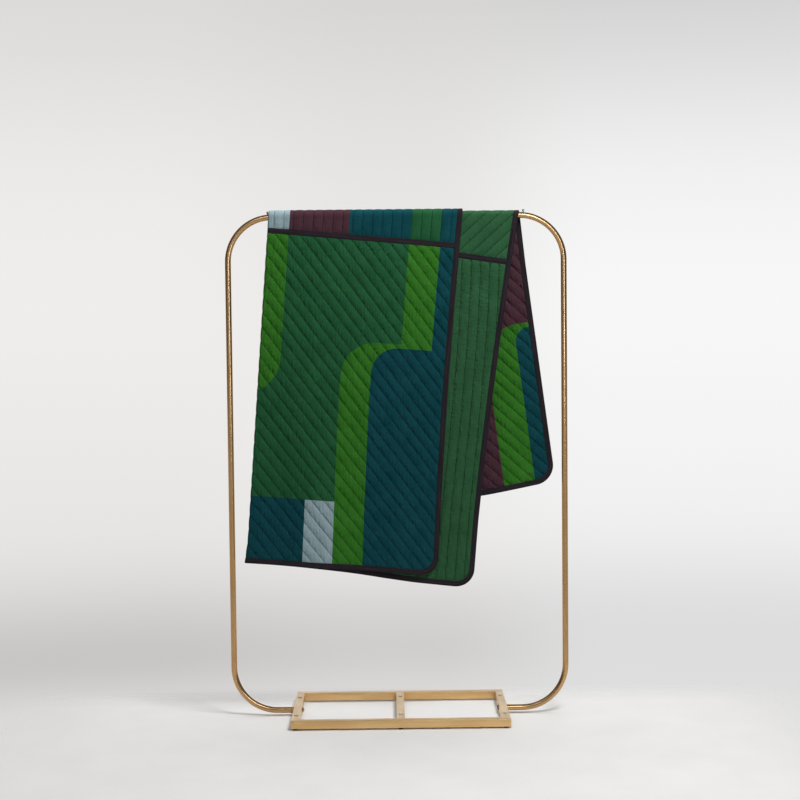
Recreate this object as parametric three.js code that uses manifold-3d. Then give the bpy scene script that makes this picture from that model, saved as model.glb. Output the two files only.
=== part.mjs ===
// Quilt on a rack: a folded quilt draped over the top rail of a free-standing brass hoop.
// Millimetres, +Z up. The origin is on the floor, under the middle of the base frame.
// +X is to the right and -Y is the front.
import * as THREE from "three";
import { mergeVertices } from "three/addons/utils/BufferGeometryUtils.js";
import Module from "manifold-3d";

const wasm = await Module();
wasm.setup();

// ---------------------------------------------------------------- driving dimensions
const GAP = 0.3; // clearance left between pieces that touch

// hoop of round tube
const TUBE_R = 9.5; // outer radius of the tube
const TUBE_BORE = 8.0; // inner radius of the tube
const HALF_W = 530; // centre-line of the uprights, either side of the middle
const RAIL_Z = 1588; // centre-line of the top rail
const SOCKET_Z = 17.5; // centre-line of the bottom runs, mid-height of the base rails
const BEND_R = 140; // centre-line radius of the four bends
const JOINT_Z = 1120; // height of the joint in each upright
const SPIGOT_R = 7.7; // spigot inside each joint
const SPIGOT_BORE = 6.0;
const SPIGOT_LEN = 120;
const TUBE_SIDES = 20;

// base frame of square tube
const BASE_W = 680;
const BASE_D = 390;
const RAIL = 25; // outside size of the square tube
const WALL = 1.5;
const FOOT_H = 5;
const FOOT_R = 7.5;
const RAIL_ROUND = 1.6; // outside corner radius of the square tube

// fixing of the hoop to the end rails
const BOLT_R = 4.0;
const BOLT_HEAD_R = 7.0;
const WASHER_R = 9.0;
const PLUG_R = 7.7;
const PLUG_LEN = 20;

// shelf pads on the base, and stop pins on the top rail
const PAD_R = 6.0;
const PAD_H = 3.2;
const PIN_X = 403;
const PIN_R = 3.2;
const PIN_H = 9.5;
const PIN_SHANK_R = 2.0;

// quilt: two layers of one quilt, folded at the left and laid over the rail
const QUILT_T = 6.5; // thickness of one layer
const INNER_R = TUBE_R + GAP; // inside radius of the inner layer where it goes over the rail
const OUTER_R = INNER_R + QUILT_T + GAP; // inside radius of the outer layer
const FOLD_X = -398.4; // the fold at the top of the rail
const OUTER_TURN = 4.45; // degrees that the outer layer and the fold are turned on the rail
const OUTER_W = 609; // fold to the outer layer's bound side edge
const OUTER_FRONT = 1121; // from the rail's crown to the outer layer's front hem, along the cloth
const OUTER_REAR = 970; // and to its rear hem
const INNER_TURN = 7.54; // degrees that the inner layer's bound side edge is turned
const INNER_X = 390; // the inner layer's bound side edge at the top of the rail
const INNER_FRONT = 1222; // from the crown to the inner layer's front hem, along that edge
const INNER_REAR = 888; // and to its rear hem
const TURN_R = (INNER_R + OUTER_R + QUILT_T) / 2; // radius of the middle of the cloth over the rail
const BIND_W = 17; // width of the binding
const CORNER_R = 60; // rounded corners of the quilt

// ---------------------------------------------------------------- finishes
const brass = () => new THREE.MeshStandardMaterial({ color: 0xb08d4f, roughness: 0.38, metalness: 1 });
const steel = () => new THREE.MeshStandardMaterial({ color: 0x9a9c9e, roughness: 0.35, metalness: 1 });
const darkRubber = () => new THREE.MeshStandardMaterial({ color: 0x1d1a18, roughness: 0.85, metalness: 0 });
const clearRubber = () => new THREE.MeshStandardMaterial({ color: 0xd9d4c6, roughness: 0.3, metalness: 0 });
const patchwork = () => new THREE.MeshStandardMaterial({ color: 0x1f5a2c, roughness: 0.95, metalness: 0 });
const backing = () => new THREE.MeshStandardMaterial({ color: 0x1c4a2b, roughness: 0.95, metalness: 0 });
const bindingCloth = () => new THREE.MeshStandardMaterial({ color: 0x1c1719, roughness: 0.95, metalness: 0 });

// ---------------------------------------------------------------- helpers
const rad = (d) => (d * Math.PI) / 180;

function solid(geometry) {
  const g = (geometry.index ? geometry.toNonIndexed() : geometry).clone();
  g.deleteAttribute("normal");
  g.deleteAttribute("uv");
  const m = mergeVertices(g, 1e-4);
  return new wasm.Manifold(
    new wasm.Mesh({
      numProp: 3,
      vertProperties: new Float32Array(m.attributes.position.array),
      triVerts: new Uint32Array(m.index.array),
    }),
  );
}

function geometryOf(manifold) {
  const m = manifold.getMesh();
  const v = new Float32Array(m.numVert * 3);
  for (let i = 0; i < m.numVert; i++)
    v.set(m.vertProperties.subarray(i * m.numProp, i * m.numProp + 3), i * 3);
  const g = new THREE.BufferGeometry();
  g.setAttribute("position", new THREE.BufferAttribute(v, 3));
  g.setIndex(new THREE.BufferAttribute(new Uint32Array(m.triVerts), 1));
  g.computeVertexNormals();
  return g;
}

const placed = (geometry, x = 0, y = 0, z = 0) => geometry.translate(x, y, z);

// A cylinder from a to b along one axis ("x", "y" or "z").
function rod(axis, r, from, to, c1, c2, sides = 24) {
  const g = new THREE.CylinderGeometry(r, r, Math.abs(to - from), sides);
  const mid = (from + to) / 2;
  if (axis === "x") return placed(g.rotateZ(Math.PI / 2), mid, c1, c2);
  if (axis === "z") return placed(g.rotateX(Math.PI / 2), c1, c2, mid);
  return placed(g, c1, mid, c2);
}

function circlePath(r, sides) {
  const pts = [];
  for (let i = 0; i < sides; i++) {
    const a = (2 * Math.PI * i) / sides;
    pts.push(new THREE.Vector2(r * Math.cos(a), r * Math.sin(a)));
  }
  return pts;
}

// A curve through given stations with the exact tangent at each, so straight runs need no steps.
class RunCurve extends THREE.Curve {
  constructor(stations) {
    super();
    this.stations = stations;
  }
  get steps() {
    return this.stations.length - 1;
  }
  getPoint(t, target = new THREE.Vector3()) {
    const f = t * this.steps;
    const i = Math.min(Math.floor(f + 1e-9), this.steps - 1);
    return target.copy(this.stations[i].p).lerp(this.stations[i + 1].p, f - i);
  }
  getPointAt(u, target) {
    return this.getPoint(u, target);
  }
  getTangentAt(u, target = new THREE.Vector3()) {
    const i = Math.round(u * this.steps);
    return target.copy(this.stations[i].t);
  }
}

const station = (x, z, tx, tz) => ({
  p: new THREE.Vector3(x, 0, z),
  t: new THREE.Vector3(tx, 0, tz).normalize(),
});

// Stations round a bend, about (cx, cz), from angle a0 to a1 in degrees.
function bend(cx, cz, r, a0, a1, n) {
  const out = [];
  const s = Math.sign(a1 - a0);
  for (let i = 0; i <= n; i++) {
    const a = rad(a0 + ((a1 - a0) * i) / n);
    out.push(station(cx + r * Math.cos(a), cz + r * Math.sin(a), -s * Math.sin(a), s * Math.cos(a)));
  }
  return out;
}

// Hollow round tube along a run, open at both ends.
function tubeAlong(stations, rOut, rIn, sides = TUBE_SIDES) {
  const shape = new THREE.Shape(circlePath(rOut, sides));
  shape.holes.push(new THREE.Path(circlePath(rIn, sides).reverse()));
  const path = new RunCurve(stations);
  return new THREE.ExtrudeGeometry(shape, { steps: path.steps, bevelEnabled: false, extrudePath: path });
}

// Hollow square tube of the given length along X, centred on the origin.
function squareTube(length) {
  const h = RAIL / 2;
  const s = new THREE.Shape();
  const r = RAIL_ROUND;
  s.moveTo(-h + r, -h);
  s.lineTo(h - r, -h);
  s.absarc(h - r, -h + r, r, -Math.PI / 2, 0);
  s.lineTo(h, h - r);
  s.absarc(h - r, h - r, r, 0, Math.PI / 2);
  s.lineTo(-h + r, h);
  s.absarc(-h + r, h - r, r, Math.PI / 2, Math.PI);
  s.lineTo(-h, -h + r);
  s.absarc(-h + r, -h + r, r, Math.PI, 1.5 * Math.PI);
  const k = h - WALL;
  const hole = new THREE.Path();
  hole.moveTo(-k, -k);
  hole.lineTo(-k, k);
  hole.lineTo(k, k);
  hole.lineTo(k, -k);
  hole.closePath();
  s.holes.push(hole);
  const g = new THREE.ExtrudeGeometry(s, { depth: length, bevelEnabled: false, curveSegments: 3 });
  g.translate(0, 0, -length / 2);
  return g.rotateY(Math.PI / 2);
}

// A block that takes a 45 degree mitre off an end of a rail that runs along X, at x = s * half.
function mitre(half, s, inner) {
  const big = 200;
  const g = new THREE.BoxGeometry(big, big, big);
  g.translate(big / 2, 0, 0);
  g.rotateZ(inner > 0 ? Math.PI / 4 : -Math.PI / 4);
  if (s < 0) g.scale(-1, 1, 1);
  // the plane goes through the outside corner (s * half, -inner * RAIL / 2)
  g.translate(s * (half - 0.7 * GAP), (-inner * RAIL) / 2, 0);
  return g;
}

function flipped(geometry) {
  // turn the faces of a mirrored geometry back out
  const g = geometry.index ? geometry.toNonIndexed() : geometry;
  const p = g.attributes.position;
  for (let i = 0; i < p.count; i += 3)
    for (let k = 0; k < 3; k++) {
      const a = p.getComponent(i + 1, k);
      p.setComponent(i + 1, k, p.getComponent(i + 2, k));
      p.setComponent(i + 2, k, a);
    }
  return g;
}

// A rail of the base along X with both ends mitred; inner is +1 when its inner side faces +Y.
function mitredRail(length, inner) {
  let m = solid(squareTube(length));
  m = m.subtract(solid(mitre(length / 2, 1, inner)));
  m = m.subtract(solid(flipped(mitre(length / 2, -1, inner))));
  return m;
}

const group = new THREE.Group();
function add(name, geometry, material) {
  const mesh = new THREE.Mesh(geometry, material);
  mesh.name = name;
  group.add(mesh);
  return mesh;
}

// ---------------------------------------------------------------- hoop
const BENDS = 11;
const topRun = [
  station(-HALF_W, JOINT_Z + GAP / 2, 0, 1),
  ...bend(-HALF_W + BEND_R, RAIL_Z - BEND_R, BEND_R, 180, 90, BENDS),
  ...bend(HALF_W - BEND_R, RAIL_Z - BEND_R, BEND_R, 90, 0, BENDS),
  station(HALF_W, JOINT_Z + GAP / 2, 0, -1),
];
const pinZ = RAIL_Z - BEND_R + Math.sqrt(BEND_R ** 2 - (PIN_X - (HALF_W - BEND_R)) ** 2) + TUBE_R;
let top = solid(tubeAlong(topRun, TUBE_R, TUBE_BORE));
for (const s of [-1, 1])
  top = top.subtract(solid(rod("z", PIN_SHANK_R + GAP, pinZ - 5, pinZ + 5, s * PIN_X, 0, 16)));
add("hoop_top_section", geometryOf(top), brass());

const SOCKET_END = BASE_W / 2 - RAIL + WALL + 0.5; // end of each bottom run, inside its end rail
for (const [side, s] of [["left", -1], ["right", 1]]) {
  const run = [
    station(s * SOCKET_END, SOCKET_Z, s, 0),
    ...(s > 0
      ? bend(HALF_W - BEND_R, SOCKET_Z + BEND_R, BEND_R, -90, 0, BENDS)
      : bend(-HALF_W + BEND_R, SOCKET_Z + BEND_R, BEND_R, 270, 180, BENDS)),
    station(s * HALF_W, JOINT_Z - GAP / 2, 0, 1),
  ];
  add("hoop_" + side + "_section", tubeAlong(run, TUBE_R, TUBE_BORE), brass());
  add(
    side + "_joint_spigot",
    tubeAlong(
      [station(s * HALF_W, JOINT_Z - SPIGOT_LEN / 2, 0, 1), station(s * HALF_W, JOINT_Z + SPIGOT_LEN / 2, 0, 1)],
      SPIGOT_R - 0.05,
      SPIGOT_BORE,
      24,
    ),
    steel(),
  );
  // threaded plug in the end of the bottom run, and the bolt and washer that hold it
  const plug = solid(rod("x", PLUG_R - 0.05, s * (SOCKET_END + 0.2), s * (SOCKET_END + 0.2 + PLUG_LEN), 0, SOCKET_Z)).subtract(
    solid(rod("x", BOLT_R + 0.2, s * (SOCKET_END - 5), s * (SOCKET_END + 15), 0, SOCKET_Z)),
  );
  add(side + "_tube_plug", geometryOf(plug), steel());
  const face = BASE_W / 2 - RAIL; // inner face of the end rail
  const shank = solid(rod("x", BOLT_R, s * (face - 3), s * (SOCKET_END + 14), 0, SOCKET_Z));
  const crown = new THREE.LatheGeometry(
    [
      new THREE.Vector2(0, 0),
      new THREE.Vector2(BOLT_HEAD_R, 0),
      new THREE.Vector2(BOLT_HEAD_R, 1.2),
      new THREE.Vector2(BOLT_HEAD_R * 0.86, 2.6),
      new THREE.Vector2(BOLT_HEAD_R * 0.55, 3.6),
      new THREE.Vector2(0, 3.9),
    ],
    24,
  );
  crown.rotateZ(s > 0 ? Math.PI / 2 : -Math.PI / 2); // the crown points to the middle of the base
  crown.translate(s * (face - 2.1), 0, SOCKET_Z);
  let bolt = shank.add(solid(crown));
  // hexagon key socket in the head
  bolt = bolt.subtract(solid(rod("x", 2.4, s * (face - 10), s * (face - 3.6), 0, SOCKET_Z, 6)));
  add(side + "_frame_bolt", geometryOf(bolt), brass());
  const ring = solid(rod("x", WASHER_R, s * (face - GAP), s * (face - 1.8), 0, SOCKET_Z, 28)).subtract(
    solid(rod("x", BOLT_R + 0.3, s * (face + 2), s * (face - 5), 0, SOCKET_Z)),
  );
  add(side + "_bolt_washer", geometryOf(ring), brass());
}

// ---------------------------------------------------------------- stop pins
for (const [side, s] of [["left", -1], ["right", 1]]) {
  const profile = [
    new THREE.Vector2(0, -5.5),
    new THREE.Vector2(PIN_SHANK_R, -5.5),
    new THREE.Vector2(PIN_SHANK_R, 0.4),
    new THREE.Vector2(PIN_R, 0.4),
    new THREE.Vector2(PIN_R, PIN_H - 1.2),
    new THREE.Vector2(PIN_R - 0.9, PIN_H - 0.2),
    new THREE.Vector2(0, PIN_H),
  ];
  const pin = new THREE.LatheGeometry(profile, 20).rotateX(Math.PI / 2);
  add(side + "_stop_pin", placed(pin, s * PIN_X, 0, pinZ), brass());
}

// ---------------------------------------------------------------- base frame
const railZ = FOOT_H + RAIL / 2;
const yRail = BASE_D / 2 - RAIL / 2;
add("front_rail", geometryOf(mitredRail(BASE_W, 1)).translate(0, -yRail, railZ), brass());
add("rear_rail", geometryOf(mitredRail(BASE_W, -1)).translate(0, yRail, railZ), brass());
for (const [side, s] of [["left", -1], ["right", 1]]) {
  // turned so that the inner side faces the middle
  const g = geometryOf(mitredRail(BASE_D, 1)).rotateZ(s > 0 ? Math.PI / 2 : -Math.PI / 2);
  g.translate(s * (BASE_W / 2 - RAIL / 2), 0, railZ);
  let m = solid(g);
  m = m.subtract(solid(rod("x", TUBE_R + GAP, s * (BASE_W / 2 - 4), s * (BASE_W / 2 + 5), 0, SOCKET_Z, TUBE_SIDES)));
  m = m.subtract(solid(rod("x", BOLT_R + 0.3, s * (BASE_W / 2 - RAIL - 4), s * (BASE_W / 2 - RAIL + 4), 0, SOCKET_Z)));
  add(side + "_end_rail", geometryOf(m), brass());
}
add("centre_crossbar", placed(squareTube(BASE_D - 2 * RAIL - 2 * GAP).rotateZ(Math.PI / 2), 0, 0, railZ), brass());

for (const [col, x] of [["left", -(BASE_W / 2 - 14)], ["centre", 0], ["right", BASE_W / 2 - 14]])
  for (const [row, s] of [["front", -1], ["rear", 1]]) {
    const foot = new THREE.LatheGeometry(
      [
        new THREE.Vector2(0, 0),
        new THREE.Vector2(FOOT_R - 0.8, 0),
        new THREE.Vector2(FOOT_R, 0.8),
        new THREE.Vector2(FOOT_R, FOOT_H - GAP),
        new THREE.Vector2(0, FOOT_H - GAP),
      ],
      16,
    ).rotateX(Math.PI / 2);
    add(col + "_" + row + "_foot", placed(foot, x, s * yRail, 0), darkRubber());
  }

const TOP_Z = FOOT_H + RAIL;
const padX = BASE_W / 2 - RAIL / 2;
for (const [col, x] of [["left", -padX], ["centre", 0], ["right", padX]])
  for (const [row, s] of [["front", -1], ["rear", 1]]) {
    const pad = new THREE.LatheGeometry(
      [
        new THREE.Vector2(0, GAP),
        new THREE.Vector2(PAD_R, GAP),
        new THREE.Vector2(PAD_R * 0.97, PAD_H * 0.42),
        new THREE.Vector2(PAD_R * 0.82, PAD_H * 0.78),
        new THREE.Vector2(PAD_R * 0.55, PAD_H),
        new THREE.Vector2(0, PAD_H),
      ],
      16,
    ).rotateX(Math.PI / 2);
    add(col + "_" + row + "_shelf_pad", placed(pad, x, s * 118, TOP_Z), clearRubber());
  }

// ---------------------------------------------------------------- quilt
// The cloth goes up the back, over the rail and down the front. A point of it has X, its place along
// the rail, and P, its distance along the cloth from the top of the rail, positive to the front.
function drape(X, P, r) {
  const half = (TURN_R * Math.PI) / 2;
  const s = Math.sign(P) || 1;
  if (Math.abs(P) < half) {
    const a = P / TURN_R;
    return [X, -r * Math.sin(a), RAIL_Z + r * Math.cos(a)];
  }
  return [X, -s * r, RAIL_Z - (Math.abs(P) - half)];
}

// Distances P to cut the cloth at, so that it turns evenly over the rail.
function foldLines(n = 16) {
  const half = (TURN_R * Math.PI) / 2;
  return Array.from({ length: n + 1 }, (_, i) => -half + (2 * half * i) / n);
}

// Left and right X of a convex outline at P.
function spanAt(outline, P) {
  let lo = Infinity;
  let hi = -Infinity;
  outline.forEach(([x1, p1], i) => {
    const [x2, p2] = outline[(i + 1) % outline.length];
    if ((P - p1) * (P - p2) > 0) return;
    const x = Math.abs(p2 - p1) < 1e-9 ? [x1, x2] : [x1 + ((x2 - x1) * (P - p1)) / (p2 - p1)];
    lo = Math.min(lo, ...x);
    hi = Math.max(hi, ...x);
  });
  return [lo, hi];
}

// A layer of cloth with a convex outline in X and P, between two radii round the rail.
function drapedLayer(outline, rIn, rOut) {
  const ps = outline.map(([, p]) => p);
  const pMin = Math.min(...ps);
  const pMax = Math.max(...ps);
  const rows = [...ps, ...foldLines()]
    .filter((p) => p > pMin + 0.5 && p < pMax - 0.5)
    .concat([pMin + 0.05, pMax - 0.05])
    .sort((a, b) => a - b)
    .filter((p, i, all) => i === 0 || p - all[i - 1] > 0.02);
  const rings = rows.map((P) => {
    const [x1, x2] = spanAt(outline, P);
    return [drape(x1, P, rOut), drape(x2, P, rOut), drape(x2, P, rIn), drape(x1, P, rIn)];
  });
  return loft(rings);
}

// A closed body through rings of points, each ring in the same order.
function loft(rings) {
  const n = rings[0].length;
  const pos = rings.flat(2);
  const idx = [];
  for (let i = 0; i + 1 < rings.length; i++)
    for (let j = 0; j < n; j++) {
      const a = i * n + j;
      const b = i * n + ((j + 1) % n);
      idx.push(a, a + n, b, b, a + n, b + n);
    }
  for (let j = 1; j + 1 < n; j++) {
    idx.push(0, j, j + 1);
    const k = (rings.length - 1) * n;
    idx.push(k, k + j + 1, k + j);
  }
  const g = new THREE.BufferGeometry();
  g.setAttribute("position", new THREE.Float32BufferAttribute(pos, 3));
  g.setIndex(idx);
  g.computeVertexNormals();
  return g;
}

// Cloth coordinates of each layer: a is the distance from the side edge towards the fold (so it is
// positive into the cloth), b the distance along the cloth from the crown of the rail.
const place = {
  outer: (a, b) => {
    const t = rad(OUTER_TURN);
    const w = OUTER_W - a;
    return [FOLD_X + w * Math.cos(t) - b * Math.sin(t), w * Math.sin(t) + b * Math.cos(t)];
  },
  inner: (a, b) => {
    const t = rad(INNER_TURN);
    return [INNER_X - a * Math.cos(t) - b * Math.sin(t), -a * Math.sin(t) + b * Math.cos(t)];
  },
};
const lengths = { outer: [-OUTER_REAR, OUTER_FRONT], inner: [-INNER_REAR, INNER_FRONT] };
const FOLD_SPAN = QUILT_T + 0.15 + GAP; // width of the folded edge, measured from the fold

// a of the point of a layer's line b = const that lies on the seam with the folded edge
function seamA(layer, b) {
  const t = rad(OUTER_TURN);
  const f = (a) => {
    const [X, P] = place[layer](a, b);
    return (X - FOLD_X) * Math.cos(t) + P * Math.sin(t) - (FOLD_SPAN + GAP); // distance from the fold line
  };
  let lo = 0;
  let hi = 1100;
  for (let i = 0; i < 60; i++) {
    const mid = (lo + hi) / 2;
    if (f(mid) > 0) lo = mid;
    else hi = mid;
  }
  return lo;
}

function cornerArc(layer, end, radius, n = 6) {
  // points round the corner of a layer, from its side edge to its hem
  const s = Math.sign(end);
  const c = CORNER_R;
  const out = [];
  for (let i = 0; i <= n; i++) {
    const t = ((Math.PI / 2) * i) / n;
    out.push(place[layer](c - radius * Math.cos(t), end - s * (c - radius * Math.sin(t))));
  }
  return out;
}

for (const [layer, rIn] of [["outer", OUTER_R], ["inner", INNER_R]]) {
  const rOut = rIn + QUILT_T;
  const half = (TURN_R * Math.PI) / 2;
  const [b0, b1] = lengths[layer];
  const inset = BIND_W + GAP;
  // the quilted cloth itself, inside its binding
  const panel = [
    ...cornerArc(layer, b1, CORNER_R - inset),
    place[layer](seamA(layer, b1 - inset), b1 - inset),
    place[layer](seamA(layer, b0 + inset), b0 + inset),
    ...cornerArc(layer, b0, CORNER_R - inset).reverse(),
  ];
  add(
    "quilt_" + layer + "_layer",
    drapedLayer(panel, rIn, rOut),
    layer === "outer" ? patchwork() : backing(),
  );
  // its binding: down the side edge, and along both hems
  const sideEdge = drapedLayer(
    [
      place[layer](0, b0 + CORNER_R - 1),
      place[layer](BIND_W, b0 + CORNER_R - 1),
      place[layer](BIND_W, b1 - CORNER_R + 1),
      place[layer](0, b1 - CORNER_R + 1),
    ],
    rIn,
    rOut,
  );
  let binding = solid(sideEdge);
  for (const end of [b0, b1]) {
    const s = Math.sign(end);
    const edge = [
      ...cornerArc(layer, end, CORNER_R),
      place[layer](seamA(layer, end), end),
      place[layer](seamA(layer, end - s * BIND_W), end - s * BIND_W),
      ...cornerArc(layer, end, CORNER_R - BIND_W).reverse(),
    ].map(([X, P]) => new THREE.Vector2(X, RAIL_Z - (Math.abs(P) - half)));
    if (THREE.ShapeUtils.area(edge) < 0) edge.reverse();
    const hem = new THREE.ExtrudeGeometry(new THREE.Shape(edge), { depth: QUILT_T, bevelEnabled: false });
    hem.rotateX(Math.PI / 2); // the shape stands in X and Z, its thickness runs to -Y
    hem.translate(0, end > 0 ? -rIn : rOut, 0);
    binding = binding.add(solid(hem));
  }
  add(layer + "_binding", geometryOf(binding), bindingCloth());
}

// the folded edge, which joins the two layers down the left side
{
  const rr = QUILT_T + 0.15; // half the thickness of both layers
  const t = rad(OUTER_TURN);
  const toP = (b) => b * Math.cos(t);
  const rows = [toP(-OUTER_REAR), ...foldLines(), toP(OUTER_FRONT)];
  const rings = rows.map((P) => {
    const X = FOLD_X - P * Math.tan(t);
    const ring = [];
    for (let i = 0; i <= 8; i++) {
      const a = Math.PI / 2 + (Math.PI * i) / 8;
      ring.push(drape(X + rr / Math.cos(t) + (rr * Math.cos(a)) / Math.cos(t), P, TURN_R + rr * Math.sin(a)));
    }
    ring.push(drape(X + FOLD_SPAN / Math.cos(t), P, TURN_R - rr));
    ring.push(drape(X + FOLD_SPAN / Math.cos(t), P, TURN_R + rr));
    return ring.reverse();
  });
  add("quilt_folded_edge", loft(rings), patchwork());
}

export default group;
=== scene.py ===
import math

import bmesh
import bpy
import numpy as np
from mathutils import Matrix, Vector
from mathutils.geometry import delaunay_2d_cdt


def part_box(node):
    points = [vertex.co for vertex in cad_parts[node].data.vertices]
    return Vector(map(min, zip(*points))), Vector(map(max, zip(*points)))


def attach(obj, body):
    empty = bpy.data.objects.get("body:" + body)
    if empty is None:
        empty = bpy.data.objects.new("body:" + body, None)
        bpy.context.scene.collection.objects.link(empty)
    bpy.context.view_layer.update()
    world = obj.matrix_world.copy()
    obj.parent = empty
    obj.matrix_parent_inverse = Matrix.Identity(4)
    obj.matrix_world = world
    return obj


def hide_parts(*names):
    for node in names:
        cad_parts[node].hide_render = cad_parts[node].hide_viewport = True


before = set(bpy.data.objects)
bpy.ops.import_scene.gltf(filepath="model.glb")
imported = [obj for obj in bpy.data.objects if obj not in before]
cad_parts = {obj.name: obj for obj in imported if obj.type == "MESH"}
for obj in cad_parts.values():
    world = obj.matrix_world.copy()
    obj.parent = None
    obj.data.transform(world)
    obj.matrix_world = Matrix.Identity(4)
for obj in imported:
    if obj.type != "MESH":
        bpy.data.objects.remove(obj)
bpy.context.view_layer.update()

scene = bpy.context.scene
MM = 0.001


# ------------------------------------------------------------------ camera
def look(yaw, pitch, roll):
    f = Vector((math.sin(yaw) * math.cos(pitch), math.cos(yaw) * math.cos(pitch), -math.sin(pitch)))
    r = Vector((math.cos(yaw), -math.sin(yaw), 0.0))
    u = r.cross(f)
    r2 = math.cos(roll) * r + math.sin(roll) * u
    u2 = -math.sin(roll) * r + math.cos(roll) * u
    return r2, u2, f


cam_data = bpy.data.cameras.new("camera")
cam_data.sensor_width = 36.0
cam_data.lens = 72.0
cam_data.clip_end = 60.0
cam = bpy.data.objects.new("camera", cam_data)
scene.collection.objects.link(cam)
cr, cu, cf = look(0.0071645, 0.0526475, -0.0102488)
cam.matrix_world = Matrix((
    (cr.x, cu.x, -cf.x, -0.0277952),
    (cr.y, cu.y, -cf.y, -5.0677105),
    (cr.z, cu.z, -cf.z, 1.2746424),
    (0, 0, 0, 1),
))
scene.camera = cam
scene.view_settings.view_transform = "Standard"
scene.view_settings.look = "None"
scene.view_settings.exposure = 0.0
scene.view_settings.gamma = 1.0


# ------------------------------------------------------------------ node helpers
def srgb(r, g, b):
    out = []
    for c in (r, g, b):
        c /= 255.0
        out.append(c / 12.92 if c <= 0.04045 else ((c + 0.055) / 1.055) ** 2.4)
    return (out[0], out[1], out[2], 1.0)


class Tree:
    """A node tree with short names for the nodes that the materials are made of."""

    def __init__(self, tree):
        self.t = tree

    def node(self, kind, **props):
        n = self.t.nodes.new(kind)
        for k, v in props.items():
            setattr(n, k, v)
        return n

    def link(self, a, b):
        self.t.links.new(a, b)

    def put(self, socket, value):
        if isinstance(value, bpy.types.NodeSocket):
            self.t.links.new(value, socket)
        else:
            socket.default_value = value

    def math(self, op, a, b=0.0, c=None, clamp=False):
        n = self.node("ShaderNodeMath", operation=op, use_clamp=clamp)
        self.put(n.inputs[0], a)
        self.put(n.inputs[1], b)
        if c is not None:
            self.put(n.inputs[2], c)
        return n.outputs[0]

    def smooth(self, x, lo, hi, a=0.0, b=1.0):
        n = self.node("ShaderNodeMapRange", interpolation_type="SMOOTHSTEP", clamp=True)
        self.put(n.inputs["Value"], x)
        n.inputs["From Min"].default_value = lo
        n.inputs["From Max"].default_value = hi
        n.inputs["To Min"].default_value = a
        n.inputs["To Max"].default_value = b
        return n.outputs["Result"]

    def remap(self, x, lo, hi, a, b):
        n = self.node("ShaderNodeMapRange", clamp=True)
        self.put(n.inputs["Value"], x)
        n.inputs["From Min"].default_value = lo
        n.inputs["From Max"].default_value = hi
        n.inputs["To Min"].default_value = a
        n.inputs["To Max"].default_value = b
        return n.outputs["Result"]

    def mix(self, fac, a, b, blend="MIX"):
        n = self.node("ShaderNodeMix", data_type="RGBA", blend_type=blend)
        self.put(n.inputs[0], fac)
        self.put(n.inputs[6], a)
        self.put(n.inputs[7], b)
        return n.outputs[2]

    def noise(self, vector, scale, detail=2.0, rough=0.5, dims="3D"):
        n = self.node("ShaderNodeTexNoise", noise_dimensions=dims)
        self.put(n.inputs["Vector"], vector)
        n.inputs["Scale"].default_value = scale
        n.inputs["Detail"].default_value = detail
        n.inputs["Roughness"].default_value = rough
        return n.outputs["Fac"]

    def mapping(self, vector, scale=(1, 1, 1), rot=(0, 0, 0), loc=(0, 0, 0)):
        n = self.node("ShaderNodeMapping")
        self.put(n.inputs["Vector"], vector)
        n.inputs["Scale"].default_value = scale
        n.inputs["Rotation"].default_value = rot
        n.inputs["Location"].default_value = loc
        return n.outputs["Vector"]

    def uv(self, name):
        return self.node("ShaderNodeUVMap", uv_map=name).outputs["UV"]

    def split(self, vector):
        n = self.node("ShaderNodeSeparateXYZ")
        self.put(n.inputs[0], vector)
        return n.outputs[0], n.outputs[1], n.outputs[2]

    def bump(self, height, strength, distance, normal=None):
        n = self.node("ShaderNodeBump")
        n.inputs["Strength"].default_value = strength
        n.inputs["Distance"].default_value = distance
        self.put(n.inputs["Height"], height)
        if normal is not None:
            self.put(n.inputs["Normal"], normal)
        return n.outputs["Normal"]


def material(name):
    m = bpy.data.materials.new(name)
    m.use_nodes = True
    t = m.node_tree
    t.nodes.clear()
    k = Tree(t)
    out = k.node("ShaderNodeOutputMaterial")
    bsdf = k.node("ShaderNodeBsdfPrincipled")
    k.link(bsdf.outputs[0], out.inputs[0])
    return m, k, bsdf


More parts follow.
